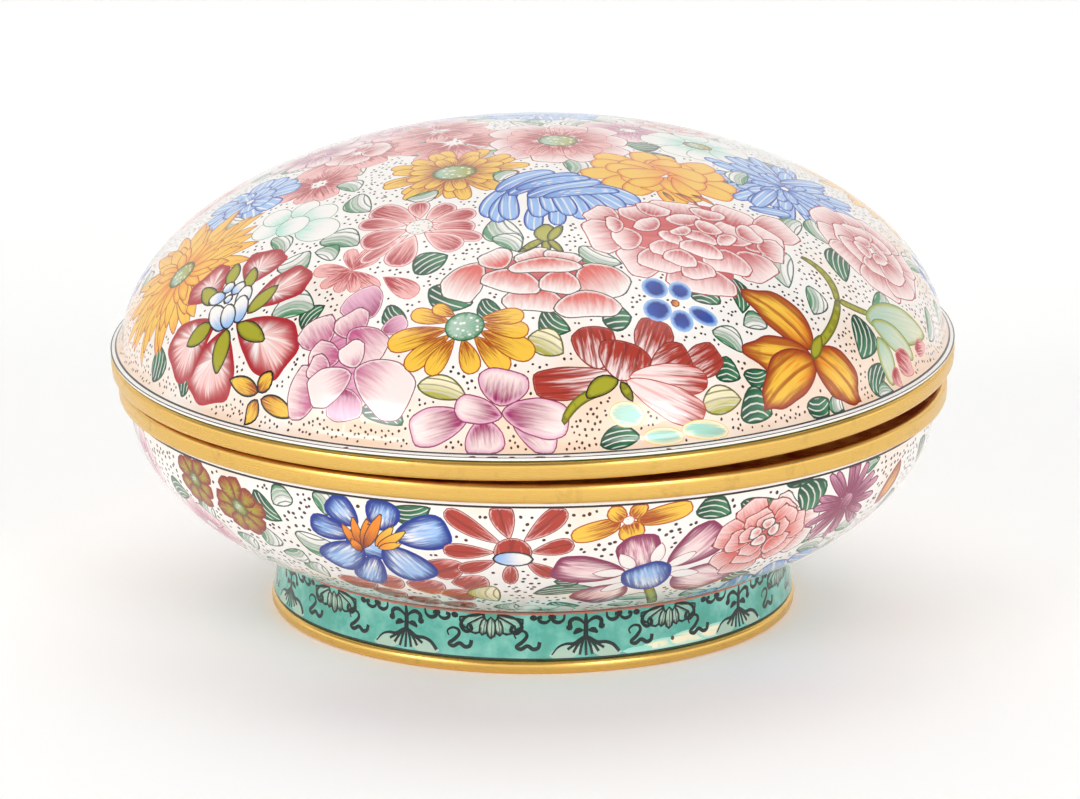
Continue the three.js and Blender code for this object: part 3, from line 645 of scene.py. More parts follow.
class Stroke:
    """One brush mark on the flat drawing, with its own directions along and across."""

    def __init__(self, shape, paint, ruffle, mark):
        x0, y0, x1, y1, width = mark[:5]
        self.paint = paint
        self.width = width * FULLNESS.get(paint, 1)
        self.bend = mark[5] if len(mark) > 5 else 0
        self.base = np.array((x0, y0), float)
        self.axis = np.array((x1 - x0, y1 - y0), float)
        self.reach = math.hypot(*self.axis)
        self.axis /= self.reach
        self.side = np.array((-self.axis[1], self.axis[0]))
        near, far = SHAPES[shape]
        peak = near / (near + far)
        scale = self.width / 2 / (peak**near * (1 - peak) ** far)
        turn = 2 * np.pi * (np.arange(OUTLINE_STEPS) + 0.5) / OUTLINE_STEPS
        along = (1 - np.cos(turn)) / 2
        half = scale * along**near * (1 - along) ** far
        across = -half * np.sign(np.sin(turn))
        walked = arc_length(along * self.reach, across)
        count = int(min(max(walked[-1] / OUTLINE_SPACING, FEWEST_POINTS), MOST_POINTS))
        places = np.linspace(0, walked[-1], count, endpoint=False)
        even = np.interp(places, walked, np.arange(OUTLINE_STEPS)).astype(int)
        turn, along, across = turn[even], along[even], across[even]
        self.outline = self.at(along, across)
        if ruffle:
            # Lobes towards the tip; the place of the mark shifts them, so that no two petals are alike.
            lobes = np.sin(turn * 3.5 + x0 + 2 * y0) ** 2 - 0.5
            self.ruffle(ruffle * lobes * np.clip(along * 2 - 0.6, 0, 1))
        self.inner = self.points_within(along) if self.width > ONE_ROW_WIDTH else np.zeros((0, 2))

    def ruffle(self, depth):
        """Push the outline out from near the middle of the mark by these depths."""
        away = self.outline - self.at(np.array([0.45]), np.array([0.0]))
        away /= np.linalg.norm(away, axis=1)[:, None]
        self.outline += away * depth[:, None]

    def points_within(self, along):
        """Points that keep the mark's faces small, in rows inside its outline and on its middle line."""
        spine = self.at(np.clip(along, 0.14, 0.86), np.zeros(len(along)))
        towards = spine - self.outline
        far_off = np.linalg.norm(towards, axis=1)[:, None] + NEVER_ZERO
        rows = [self.outline + towards * np.minimum(ROW_SHARE, ROW_INSET / far_off)]
        if self.width > TWO_ROW_WIDTH:
            rows.append((self.outline + towards * SECOND_ROW_SHARE)[::2])
        rows.append(self.at(np.linspace(0.15, 0.85, 5 if self.reach > LONG_MARK else 3), 0))
        return np.concatenate(rows)

    def at(self, along, across):
        """Points of the drawing from places along and across the mark."""
        across = across + self.bend * 4 * along * (1 - along)
        return self.base + np.outer(along * self.reach, self.axis) + np.outer(across, self.side)

    def brush(self, points):
        """Place along and across the mark, and distance to its outline in millimetres."""
        away = points - self.base
        along = away @ self.axis / self.reach
        across = (away @ self.side - self.bend * 4 * along * (1 - along)) / (self.width / 2)
        return np.stack([along, across, distance(self.outline, points)], axis=1)


def distance(outline, points):
    """Distance of each point from a closed outline."""
    run = np.roll(outline, -1, axis=0) - outline
    away = points[:, None] - outline[None]
    share = np.clip((away * run).sum(2) / ((run * run).sum(1) + TINY**2), 0, 1)
    return np.linalg.norm(away - share[..., None] * run, axis=2).min(1)


def area(outline):
    """Area inside a closed outline that runs counter-clockwise."""
    after = np.roll(outline, -1, axis=0)
    return (outline[:, 0] * after[:, 1] - outline[:, 1] * after[:, 0]).sum() / 2


def inside(outline, points):
    """Whether each point lies inside a closed outline."""
    start, end = outline, np.roll(outline, -1, axis=0)
    x, y = points[:, 0, None], points[:, 1, None]
    straddles = (start[:, 1] > y) != (end[:, 1] > y)
    run, rise = (end - start).T
    rise = np.where(np.abs(rise) < TINY**2, TINY**2, rise)
    crossing = start[:, 0] + (y - start[:, 1]) / rise * run
    return (straddles & (x < crossing)).sum(1) % 2 == 1


def hold_between(mark, nearest, farthest):
    """Push the points of a mark to between two distances from the middle of the flat drawing."""
    for part in ("outline", "inner"):
        points = getattr(mark, part)
        away = np.hypot(points[:, 0], points[:, 1])
        held = np.clip(away, nearest, farthest)
        setattr(mark, part, points * (held / np.maximum(away, NEVER_ZERO))[:, None])


def strokes_of(groups, half_turn=False):
    """Brush marks in the order they were painted; a half turn repeats them on the far side."""
    marks = []
    sign = -1 if half_turn else 1
    for shape, paint, ruffle, petals in groups:
        for petal in petals:
            turned = tuple(sign * v for v in petal[:4]) + tuple(petal[4:])
            if paint.endswith("_leaf") and len(petal) == 5:
                turned += (petal[4] * (LEAF_BEND if len(marks) % 2 else -LEAF_BEND),)
            marks.append(Stroke(shape, paint, ruffle, turned))
    return marks


class Skin:
    """A turned surface laid flat as a disc or ring, with each ring of its profile at its own flat radius."""

    def __init__(self, radius, height, flat, hand):
        self.radius, self.height, self.flat, self.hand = radius, height, flat, hand
        self.order = np.argsort(flat)
        run = np.gradient(radius), np.gradient(height)
        size = np.hypot(*run)
        self.lean = -run[1] / size, run[0] / size

    def lift(self, points):
        """Points and outward directions in space of points on the flat drawing."""
        flat = np.hypot(points[:, 0], points[:, 1])
        bearing = self.hand * np.arctan2(points[:, 1], points[:, 0])
        known = self.flat[self.order]
        found = [np.interp(flat, known, v[self.order]) for v in (self.radius, self.height, *self.lean)]
        turn = np.stack([np.cos(bearing), np.sin(bearing)], axis=1)
        place = np.column_stack([turn * found[0][:, None], found[1]])
        out = np.column_stack([turn * found[2][:, None], found[3]])
        return place, out / np.linalg.norm(out, axis=1)[:, None]


def arc_length(radius, height):
    """Distance along a profile from its first point."""
    return np.concatenate([[0], np.cumsum(np.hypot(np.diff(radius), np.diff(height)))])


def even_scale(radius, height):
    """Flat radius that keeps shapes true, with the first ring at its real size."""
    run = np.hypot(np.diff(radius), np.diff(height))
    return radius[0] * np.exp(-np.concatenate([[0], np.cumsum(2 * run / (radius[1:] + radius[:-1]))]))


# Ground dots: distance of their rows and how far they stray, as shares of their spacing.
DOT_ROW = 0.87
DOT_STRAY = 0.3
# How far they keep from the border and other marks, in millimetres; their smallest size and roundness.
DOT_BORDER = 0.5
DOT_MARGIN = 0.45
DOT_SMALLEST = 0.7
DOT_ROUNDNESS = 0.85


def ground_dots(strokes, inner, outer, spacing, largest, seed):
    """Small dots on the bare ground, about as far apart as the painter set them."""
    dice = random.Random(seed)
    found = []
    for row in range(int(2 * outer / (spacing * DOT_ROW))):
        for column in range(int(2 * outer / spacing)):
            stray = [dice.uniform(-DOT_STRAY, DOT_STRAY) * spacing for _ in range(2)]
            x = -outer + (column + 0.5 * (row % 2)) * spacing + stray[0]
            y = -outer + row * spacing * DOT_ROW + stray[1]
            if inner + DOT_BORDER < math.hypot(x, y) < outer - DOT_BORDER:
                found.append((x, y))
    points = np.array(found)
    bare = np.ones(len(points), bool)
    for stroke in strokes:
        low = stroke.outline.min(0) - DOT_MARGIN
        high = stroke.outline.max(0) + DOT_MARGIN
        near = np.flatnonzero(bare & (points > low).all(1) & (points < high).all(1))
        if len(near):
            close_by = distance(stroke.outline, points[near]) < DOT_MARGIN
            bare[near[inside(stroke.outline, points[near]) | close_by]] = False
    dots = []
    for x, y in points[bare]:
        size = dice.uniform(DOT_SMALLEST, 1) * largest
        lean = dice.uniform(0, math.pi)
        across, up = size / 2 * math.cos(lean), size / 2 * math.sin(lean)
        mark = (x - across, y - up, x + across, y + up, size * DOT_ROUNDNESS)
        dots.append(Stroke("round", "brown_dot", 0, mark))
    return dots


# Brush place of a face that no mark covers, and the place of a drawn line: far from any outline.
NO_MARK = (-9.0, 0.0, 9.0)
LINE_MARK = (0.5, 0.0, 9.0)
# Marks reach this far under a border, and chips to this close to the edge, in millimetres.
LAP = 0.07
CHIP_EDGE = 0.02
# Marks with less area than this, in square millimetres, are left out.
SMALLEST_MARK = 0.04
# Grid of points between the marks, in millimetres: its step, its shift and its distance from the edges.
FILLER_STEP = 2.4
FILLER_SHIFT = 0.017
FILLER_MARGIN = 0.6
# Kind of result that the triangulation gives, and the distance at which it welds points.
INSIDE_FACES = 1
WELD = 1e-5
# Flat radii between which a ground warms, far outside a piece whose ground stays even.
NOT_WARM = (1e3, 2e3)
# Step from mark to mark of the number that sets each one's streaks apart.
SEED_STEP = 0.618
# Edges that turn by more than these angles stay crisp.
SHELL_CREASE = math.radians(40)
GILT_CREASE = math.radians(35)


def place_piece(mesh, node, seat):
    """Seat a mesh drawn in millimetres, and let its object stand for a solid."""
    mesh.transform(Matrix.Scale(MM, 4) @ seat)
    mesh.update()
    piece = bpy.data.objects.new(mesh.name, mesh)
    bpy.context.scene.collection.objects.link(piece)
    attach(piece, "root")
    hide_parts(node)


class Shell:
    """Collects one enamelled piece: its painted skin and the plain turned faces that close it."""

    def __init__(self):
        self.points = []
        self.faces = []
        self.paints = []
        self.brush = []
        self.seeds = []
        self.normals = []
        self.flat = []

    def draw(self, skin, strokes, zones, ground, uv, warm=NOT_WARM):
        """Cut the flat drawing along every outline, and give each part the mark painted last over it."""
        low, high = skin.flat.min(), skin.flat.max()
        halfway = (low + high) / 2
        pierced = low > TINY
        turn = 2 * np.pi * np.arange(ROUND) / ROUND
        circle = np.stack([np.cos(turn), np.sin(turn)], axis=1)
        lines = sorted({edge for zone in zones for edge in zone[:2]})
        rings = [high] + [edge for edge in lines if low + TINY < edge < high - TINY]
        if pierced:
            rings.append(low)
        coords = [circle * edge for edge in rings]
        first = len(rings)
        loops = [list(range(i * ROUND, (i + 1) * ROUND)) for i in range(first)]
        total = first * ROUND
        inner_start = total - ROUND
        kept = [stroke for stroke in strokes if low < np.hypot(*stroke.outline.mean(0)) < high]
        nearest = max([zone[1] for zone in zones if zone[1] < halfway], default=low) - LAP
        farthest = min([zone[0] for zone in zones if zone[0] > halfway], default=high) + LAP
        for stroke in kept:
            reach = high - CHIP_EDGE if stroke.paint == "copper_chip" else farthest
            hold_between(stroke, nearest if pierced else 0, reach)
        kept = [stroke for stroke in kept if area(stroke.outline) > SMALLEST_MARK]
        for stroke in kept:
            coords.extend((stroke.outline, stroke.inner))
            loops.append(list(range(total, total + len(stroke.outline))))
            total += len(stroke.outline) + len(stroke.inner)
        grid = np.arange(-high, high, FILLER_STEP)
        filler = np.stack(np.meshgrid(grid, grid), axis=-1).reshape(-1, 2) + FILLER_SHIFT
        away = np.hypot(filler[:, 0], filler[:, 1])
        coords.append(filler[(away < high - FILLER_MARGIN) & (away > low + FILLER_MARGIN)])
        flat = [Vector(p) for p in np.concatenate(coords)]
        verts, _, tris, origin, _, owners = delaunay_2d_cdt(flat, [], loops, INSIDE_FACES, WELD, True)
        places = np.array([(v.x, v.y) for v in verts])
        tris = np.array(tris)
        middle = np.hypot(*places[tris].mean(1).T)
        top = np.array([max(owner) if owner else 0 for owner in owners]) - first
        if pierced:
            stays = middle > low * math.cos(math.pi / ROUND)
            tris, middle, top = tris[stays], middle[stays], top[stays]
        corners = places[tris].reshape(-1, 2)
        brush = np.tile(NO_MARK, (len(corners), 1))
        brush[:, 0] = (np.hypot(corners[:, 0], corners[:, 1]) - warm[0]) / (warm[1] - warm[0])
        brush = brush.reshape(-1, 3, 3)
        seeds = np.zeros(len(tris))
        names = np.array([ground] * len(tris), dtype=object)
        order = np.argsort(top, kind="stable")
        starts = np.searchsorted(top[order], np.arange(len(kept) + 1))
        for number, stroke in enumerate(kept):
            own = order[starts[number] : starts[number + 1]]
            if len(own):
                names[own] = stroke.paint
                seeds[own] = (number * SEED_STEP) % 1
                brush[own] = stroke.brush(places[tris[own]].reshape(-1, 2)).reshape(-1, 3, 3)
        for start, end, paint in zones:
            band = (middle > start) & (middle < end) & (names != "copper_chip")
            names[band] = paint
            brush[band] = NO_MARK
        used, index = np.unique(tris, return_inverse=True)
        tris = index.reshape(-1, 3)
        space, out = skin.lift(places[used])
        base = len(self.points)
        self.points.extend(space)
        self.faces.extend((tris + base).tolist())
        self.paints.extend(names)
        self.brush.extend(brush.reshape(-1, 3))
        self.seeds.extend(seeds)
        self.normals.extend(out[tris.reshape(-1)])
        cx, cy, size = uv
        self.flat.extend(places[used][tris.reshape(-1)] * size / high + (cx, cy))
        spot = {source: new + base for new, old in enumerate(used) for source in origin[old]}
        outer_ring = [spot[i] for i in range(ROUND)]
        inner_ring = [spot[inner_start + i] for i in range(ROUND)] if pierced else None
        return outer_ring, inner_ring

    def close(self, ring_ids, skin, profile, paint, uv, last=None, edge=0, inward=False):
        """Turn a profile on from a ring of the skin, to another ring or the axis; edge rows stay white."""
        turn = skin.hand * 2 * np.pi * np.arange(ROUND) / ROUND
        rows = [ring_ids]
        for radius, height in profile:
            start = len(self.points)
            if radius < TINY:
                self.points.append(np.array((0, 0, height)))
                rows.append([start] * ROUND)
            else:
                circle = (radius * np.cos(turn), radius * np.sin(turn), np.full(ROUND, height))
                self.points.extend(np.stack(circle, axis=1))
                rows.append(list(range(start, start + ROUND)))
        if last:
            rows.append(last)
        cx, cy, first, final = uv
        steps = np.linspace(first, final, len(rows))
        spin = np.stack([np.cos(np.abs(turn)), np.sin(np.abs(turn))], axis=1)
        for j in range(len(rows) - 1):
            for i in range(ROUND):
                k = (i + 1) % ROUND
                quad = [(j, i), (j + 1, i), (j + 1, k), (j, k)]
                if rows[j + 1][i] == rows[j + 1][k]:
                    del quad[2]
                if inward:
                    quad.reverse()
                self.faces.append([rows[row][column] for row, column in quad])
                self.paints.append("white_ground" if j < edge else paint)
                self.seeds.append(0)
                for row, column in quad:
                    self.brush.append(NO_MARK)
                    self.normals.append(np.zeros(3))
                    self.flat.append(np.array((cx, cy)) + spin[column] * steps[row])

    def piece(self, name, node, slot, seat=Matrix.Identity(4)):
        """Make the mesh object, with its paints as materials, and let it stand for its solid."""
        mesh = bpy.data.meshes.new(name)
        mesh.from_pydata([Vector(p) for p in self.points], [], self.faces)
        names = sorted(set(self.paints))
        for paint in names:
            mesh.materials.append(enamel(paint))
        place = {paint: i for i, paint in enumerate(names)}
        mesh.polygons.foreach_set("material_index", [place[p] for p in self.paints])
        mesh.polygons.foreach_set("use_smooth", [True] * len(self.faces))
        brush = mesh.attributes.new("brush", "FLOAT_VECTOR", "CORNER")
        brush.data.foreach_set("vector", np.array(self.brush, np.float32).ravel())
        seed = mesh.attributes.new("stroke", "FLOAT", "FACE")
        seed.data.foreach_set("value", np.array(self.seeds, np.float32))
        layer = mesh.uv_layers.new(name="OFBake")
        layer.data.foreach_set("uv", np.array(self.flat, np.float32).ravel())
        mesh.set_sharp_from_angle(angle=SHELL_CREASE)
        mesh.normals_split_custom_set([Vector(n) for n in self.normals])
        place_piece(mesh, node, seat)


def ellipse(centre, radius, height, start, end, steps):
    """Rings of a turned ellipse between two angles above the horizontal."""
    turn = np.linspace(start, end, steps)
    return np.maximum(radius * np.cos(turn), 0), centre + height * np.sin(turn)


def bend_curve(start, control, end, steps):
    """Points of a quadratic curve."""
    share = np.linspace(0, 1, steps)[:, None]
    start, control, end = (np.array(p) for p in (start, control, end))
    return (1 - share) ** 2 * start + 2 * share * (1 - share) * control + share**2 * end


def lid_seat(size):
    """Matrix that sets the lid down slightly askew on the bowl, in millimetres."""
    contact = Vector((math.cos(size.lid_contact), math.sin(size.lid_contact), 0)) * size.bowl_rim_radius
    hinge = Vector((-math.sin(size.lid_contact), math.cos(size.lid_contact), 0))
    top = size.bowl_rim_low + size.bowl_rim_height + size.lid_gap
    raised = Matrix.Translation(contact + Vector((0, 0, top)))
    return raised @ Matrix.Rotation(size.lid_tilt, 4, hinge) @ Matrix.Translation(-contact)


# Rounding of the gilt rings in millimetres, its steps, and at most which share of a side it takes.
GILT_ROUNDING = 0.9
GILT_STEPS = 6
GILT_SHARE = 0.45


def rounded(corners):
    """A closed profile with its corners rounded off."""
    points = []
    count = len(corners)
    for i in range(count):
        corner = np.array(corners[i], float)
        before = np.array(corners[i - 1], float) - corner
        after = np.array(corners[(i + 1) % count], float) - corner
        long_before, long_after = np.linalg.norm(before), np.linalg.norm(after)
        cut = min(GILT_ROUNDING, GILT_SHARE * long_before, GILT_SHARE * long_after)
        start = corner + before / long_before * cut
        end = corner + after / long_after * cut
        points.extend(bend_curve(start, corner, end, GILT_STEPS))
    return points


def gilt_ring(name, node, corners, seat=Matrix.Identity(4), covered=None):
    """Turn a rounded closed profile into a gilt ring standing for its solid, with painted shade under the
    lid.
    """
    profile = rounded(corners)
    rows = len(profile)
    turn = 2 * math.pi * np.arange(ROUND) / ROUND
    points = [(r * math.cos(t), r * math.sin(t), z) for t in turn for r, z in profile]
    faces = []
    flat = []
    for i in range(ROUND):
        k = (i + 1) % ROUND
        left, right = i / ROUND, (i + 1) / ROUND
        for j in range(rows):
            m = (j + 1) % rows
            low, high = j / rows, (j + 1) / rows
            faces.append((i * rows + j, k * rows + j, k * rows + m, i * rows + m))
            flat.extend(((left, low), (right, low), (right, high), (left, high)))
    mesh = bpy.data.meshes.new(name)
    mesh.from_pydata(points, [], faces)
    mesh.polygons.foreach_set("use_smooth", [True] * len(faces))
    mesh.uv_layers.new(name="OFBake").data.foreach_set("uv", np.array(flat, np.float32).ravel())
    mesh.set_sharp_from_angle(angle=GILT_CREASE)
    mesh.materials.append(burnished_gilding())
    if covered:
        # Faces in the gap under the lid get a brown gilding: painted shade.
        mesh.materials.append(gap_shade_gilding())
        shaded_gilt = [covered(*np.add(profile[j], profile[(j + 1) % rows]) / 2) for j in range(rows)]
        mesh.polygons.foreach_set("material_index", np.array(shaded_gilt * ROUND, np.int32))
    place_piece(mesh, node, seat)


def add(tree, kind, inputs=None, out=0, **settings):
    """Add a node with its settings, set or link its inputs, and give back one of its outputs."""
    made = tree.nodes.new(kind)
    for name, value in settings.items():
        setattr(made, name, value)
    for key, value in (inputs or {}).items():
        if isinstance(value, bpy.types.NodeSocket):
            tree.links.new(value, made.inputs[key])
        else:
            made.inputs[key].default_value = value
    return made.outputs[out] if made.outputs else None


def per_metre(millimetres):
    """Scale of a pattern whose features are this far apart."""
    return 1 / (millimetres * MM)


def fresh_material(name):
    """A new material, and its empty node tree."""
    material = bpy.data.materials.new(name)
    material.use_nodes = True
    material.node_tree.nodes.clear()
    return material, material.node_tree


# Streaks on a mark 5 mm long and 4 mm wide come out near 2.5 mm long and 0.25 mm wide, coarser than those of
# real hairs so that they show. The last number sets the streaks of different marks apart.
STREAKS_ALONG = (1.6, 6, 40)
STREAKS_AROUND = (5, 1.2, 40)
# Where along a round mark its streaks run together.
STREAK_CENTRE = 0.42
# Seeds of a seed head 5 mm across come out near 0.7 mm apart.
SEEDS = (7, 3.5, 0)


def enamel(name):
    """Lead-glass enamel, brushed on in washes and fired: glossy and streaked, with finely drawn outlines."""
    known = bpy.data.materials.get("enamel_" + name)
    if known:
        return known
    if name == "white_ground":
        return ground_enamel()
    if name == "turquoise_ground":
        return turquoise_enamel()
    paint = PAINTS[name]
    material, tree = fresh_material("enamel_" + name)
    brush = add(tree, "ShaderNodeAttribute", out="Vector", attribute_name="brush")
    seed = add(tree, "ShaderNodeAttribute", out="Fac", attribute_name="stroke")
    along, across, edge = add(tree, "ShaderNodeSeparateXYZ", {0: brush}).node.outputs
    if paint.around:
        ahead = add(tree, "ShaderNodeMath", {0: along, 1: -STREAK_CENTRE}, operation="ADD")
        bearing = add(tree, "ShaderNodeMath", {0: across, 1: ahead}, operation="ARCTAN2")
        where = add(tree, "ShaderNodeCombineXYZ", {0: bearing, 1: along, 2: seed})
        stretch = STREAKS_AROUND
    else:
        where = add(tree, "ShaderNodeCombineXYZ", {0: along, 1: across, 2: seed})
        stretch = STREAKS_ALONG
    where = add(tree, "ShaderNodeVectorMath", {0: where, 1: stretch}, operation="MULTIPLY")
    hairs = {"Vector": where, "Scale": 1.3, "Detail": 2.5, "Roughness": 0.62}
    hair = add(tree, "ShaderNodeTexNoise", hairs)
    streak = add(tree, "ShaderNodeMapRange", {"Value": hair, "From Min": 0.3, "From Max": 0.7})
    course = along
    if paint.side:
        course = add(tree, "ShaderNodeMath", {0: across, 1: 0.5, 2: 0.5}, operation="MULTIPLY_ADD")
    drift = add(tree, "ShaderNodeMath", {0: streak, 1: paint.comb, 2: course}, operation="MULTIPLY_ADD")
    middle = paint.comb / 2
    reach = {"Value": drift, "From Min": paint.start + middle, "From Max": paint.end + middle}
    blend = add(tree, "ShaderNodeMapRange", reach, interpolation_type="SMOOTHSTEP")
    colours = {0: blend, 6: colour(paint.base), 7: colour(paint.tip)}
    wash = add(tree, "ShaderNodeMix", colours, 2, data_type="RGBA")
    if paint.stripes:
        turns = {0: across, 1: paint.stripes * math.pi, 2: drift}
        phase = add(tree, "ShaderNodeMath", turns, operation="MULTIPLY_ADD")
        wave = add(tree, "ShaderNodeMath", {0: phase}, operation="SINE")
        thin = {"Value": wave, "From Min": 0.55, "From Max": 0.95, "To Max": 0.8}
        lines = add(tree, "ShaderNodeMapRange", thin)
        band = colour(paint.stripe)
        if paint.side:
            colours = {0: blend, 6: band, 7: colour(paint.ink)}
            band = add(tree, "ShaderNodeMix", colours, 2, data_type="RGBA")
        wash = add(tree, "ShaderNodeMix", {0: lines, 6: wash, 7: band}, 2, data_type="RGBA")
    if paint.spots:
        grain = add(tree, "ShaderNodeVectorMath", {0: brush, 1: SEEDS}, operation="MULTIPLY")
        seeds = add(tree, "ShaderNodeTexVoronoi", {"Vector": grain, "Scale": 1.0})
        fade = {"Value": seeds, "From Min": 0.22, "From Max": 0.36, "To Min": 1.0, "To Max": 0.0}
        spot = add(tree, "ShaderNodeMapRange", fade)
        wash = add(tree, "ShaderNodeMix", {0: spot, 6: wash, 7: colour(paint.spots)}, 2, data_type="RGBA")
    if paint.rim:
        hairy = min(1, 2 * paint.comb) * paint.rim_width
        spread = {0: streak, 1: hairy, 2: paint.rim_width - hairy / 2}
        reach = add(tree, "ShaderNodeMath", spread, operation="MULTIPLY_ADD")
        full = paint.rim_width * 0.12
        fade = {"Value": edge, "From Min": full, "From Max": reach, "To Min": 1.0, "To Max": 0.0}
        rim = add(tree, "ShaderNodeMapRange", fade, interpolation_type="SMOOTHSTEP")
        wash = add(tree, "ShaderNodeMix", {0: rim, 6: wash, 7: colour(paint.rim)}, 2, data_type="RGBA")
    if paint.ink:
        wide = paint.ink_width
        uneven = {0: streak, 1: wide * 0.6, 2: wide * 0.75}
        reach = add(tree, "ShaderNodeMath", uneven, operation="MULTIPLY_ADD")
        fade = {"Value": edge, "From Min": wide * 0.45, "From Max": reach, "To Min": 1.0, "To Max": 0.0}
        line = add(tree, "ShaderNodeMapRange", fade, interpolation_type="SMOOTHSTEP")
        wash = add(tree, "ShaderNodeMix", {0: line, 6: wash, 7: colour(paint.ink)}, 2, data_type="RGBA")
    fired_glass(tree, wash)
    return material


def fired_glass(tree, wash):
    """Finish an enamel as fired lead glass: clear gloss over the colour, with a faint ripple 3 mm across."""
    place = add(tree, "ShaderNodeTexCoord", out="Object")
    ripple = add(tree, "ShaderNodeTexNoise", {"Vector": place, "Scale": per_metre(3.03), "Detail": 2.0})
    bump = add(tree, "ShaderNodeBump", {"Height": ripple, "Strength": 0.12, "Distance": 0.2 * MM})
    spread = {"Value": ripple, "From Min": 0.3, "From Max": 0.7, "To Min": 0.1, "To Max": 0.2}
    rough = add(tree, "ShaderNodeMapRange", spread)
    gloss = {"Base Color": wash, "Roughness": rough, "IOR": 1.57, "Normal": bump}
    add(tree, "ShaderNodeOutputMaterial", {0: add(tree, "ShaderNodeBsdfPrincipled", gloss)})


def ground_enamel():
    """White tin-opacified enamel, fired smooth: a creamy ground that warms to peach towards the edge."""
    material, tree = fresh_material("enamel_white_ground")
    brush = add(tree, "ShaderNodeAttribute", out="Vector", attribute_name="brush")
    near_edge = add(tree, "ShaderNodeSeparateXYZ", {0: brush})
    place = add(tree, "ShaderNodeTexCoord", out="Object")
    # The warm wash ends in clouds about 18 mm across.
    clouds = {"Vector": place, "Scale": per_metre(18.18), "Detail": 2.0}
    cloud = add(tree, "ShaderNodeTexNoise", clouds)
    reach = add(tree, "ShaderNodeMath", {0: cloud, 1: 2.4, 2: near_edge}, operation="MULTIPLY_ADD")
    spread = {"Value": reach, "From Min": 1.45, "From Max": 2.5, "To Max": 0.85}
    warm = add(tree, "ShaderNodeMapRange", spread, interpolation_type="SMOOTHSTEP")
    colours = {0: warm, 6: colour("white"), 7: colour("peach")}
    fired_glass(tree, add(tree, "ShaderNodeMix", colours, 2, data_type="RGBA"))
    return material


def turquoise_enamel():
    """Turquoise counter-enamel, sifted on and fired: even, glassy, a little cloudy where it pooled."""
    material, tree = fresh_material("enamel_turquoise_ground")
    place = add(tree, "ShaderNodeTexCoord", out="Object")
    # The pools are about 5 mm across.
    pools = {"Vector": place, "Scale": per_metre(5.263), "Detail": 4.0, "Roughness": 0.6}
    cloud = add(tree, "ShaderNodeTexNoise", pools)
    spread = {"Value": cloud, "From Min": 0.45, "From Max": 0.75, "To Max": 0.8}
    pool = add(tree, "ShaderNodeMapRange", spread)
    colours = {0: pool, 6: colour("turquoise"), 7: colour("aqua")}
    wash = add(tree, "ShaderNodeMix", colours, 2, data_type="RGBA")
    spread = {"Value": cloud, "From Min": 0.46, "From Max": 0.25, "To Max": 0.5}
    thin = add(tree, "ShaderNodeMapRange", spread)
    wash = add(tree, "ShaderNodeMix", {0: thin, 6: wash, 7: colour("leaf")}, 2, data_type="RGBA")
    fired_glass(tree, wash)
    return material


def burnished_gilding():
    """Fire-gilt copper alloy, burnished round the ring: warm satin, fine turning lines and rubbed spots."""
    known = bpy.data.materials.get("gilt_copper_burnished")
    if known:
        return known
    material, tree = fresh_material("gilt_copper_burnished")
    place = add(tree, "ShaderNodeTexCoord", out="Object")
    x, y, z = add(tree, "ShaderNodeSeparateXYZ", {0: place}).node.outputs
    bearing = add(tree, "ShaderNodeMath", {0: y, 1: x}, operation="ARCTAN2")
    where = add(tree, "ShaderNodeCombineXYZ", {0: bearing, 1: z, 2: z})
    # Turning lines are about 0.05 mm apart; they are drawn near 0.3 mm so that they show.
    stretch = (3, per_metre(0.303), 0)
    where = add(tree, "ShaderNodeVectorMath", {0: where, 1: stretch}, operation="MULTIPLY")
    lines = add(tree, "ShaderNodeTexNoise", {"Vector": where, "Scale": 1.0, "Detail": 3.0})
    # The rubbed spots are about 4 mm across.
    rubbing = {"Vector": place, "Scale": per_metre(3.846), "Detail": 4.0, "Roughness": 0.65}
    worn = add(tree, "ShaderNodeTexNoise", rubbing)
    rub = add(tree, "ShaderNodeMapRange", {"Value": worn, "From Min": 0.58, "From Max": 0.8, "To Max": 0.3})
    colours = {0: rub, 6: colour("gilt"), 7: colour("copper")}
    metal = add(tree, "ShaderNodeMix", colours, 2, data_type="RGBA")
    spread = {"Value": lines, "From Min": 0.3, "From Max": 0.7, "To Min": 0.22, "To Max": 0.36}
    rough = add(tree, "ShaderNodeMapRange", spread)
    bump = add(tree, "ShaderNodeBump", {"Height": lines, "Strength": 0.15, "Distance": 0.05 * MM})
    satin = {"Base Color": metal, "Metallic": 1.0, "Roughness": rough, "Normal": bump}
    add(tree, "ShaderNodeOutputMaterial", {0: add(tree, "ShaderNodeBsdfPrincipled", satin)})
    return material


def gap_shade_gilding():
    """Fire-gilt copper alloy in the gap under the lid: matt, painted brown as shade, with golden patches 4 mm
    across.
    """
    known = bpy.data.materials.get("gilt_copper_unburnished")
    if known:
        return known
    material, tree = fresh_material("gilt_copper_unburnished")
    place = add(tree, "ShaderNodeTexCoord", out="Object")
    patch = add(tree, "ShaderNodeTexNoise", {"Vector": place, "Scale": per_metre(4), "Detail": 3.0})
    # Brown mixed into the gilt is painted shade for the dark gap between lid and bowl.
    spread = {"Value": patch, "From Min": 0.35, "From Max": 0.65, "To Max": 0.6}
    painted_shade = add(tree, "ShaderNodeMapRange", spread)
    colours = {0: painted_shade, 6: colour("burnt"), 7: colour("gilt")}
    metal = add(tree, "ShaderNodeMix", colours, 2, data_type="RGBA")
    rough = add(tree, "ShaderNodeMapRange", {"Value": patch, "To Min": 0.45, "To Max": 0.65})
    shaded_gilt = {"Base Color": metal, "Metallic": 1.0, "Roughness": rough}
    add(tree, "ShaderNodeOutputMaterial", {0: add(tree, "ShaderNodeBsdfPrincipled", shaded_gilt)})
    return material


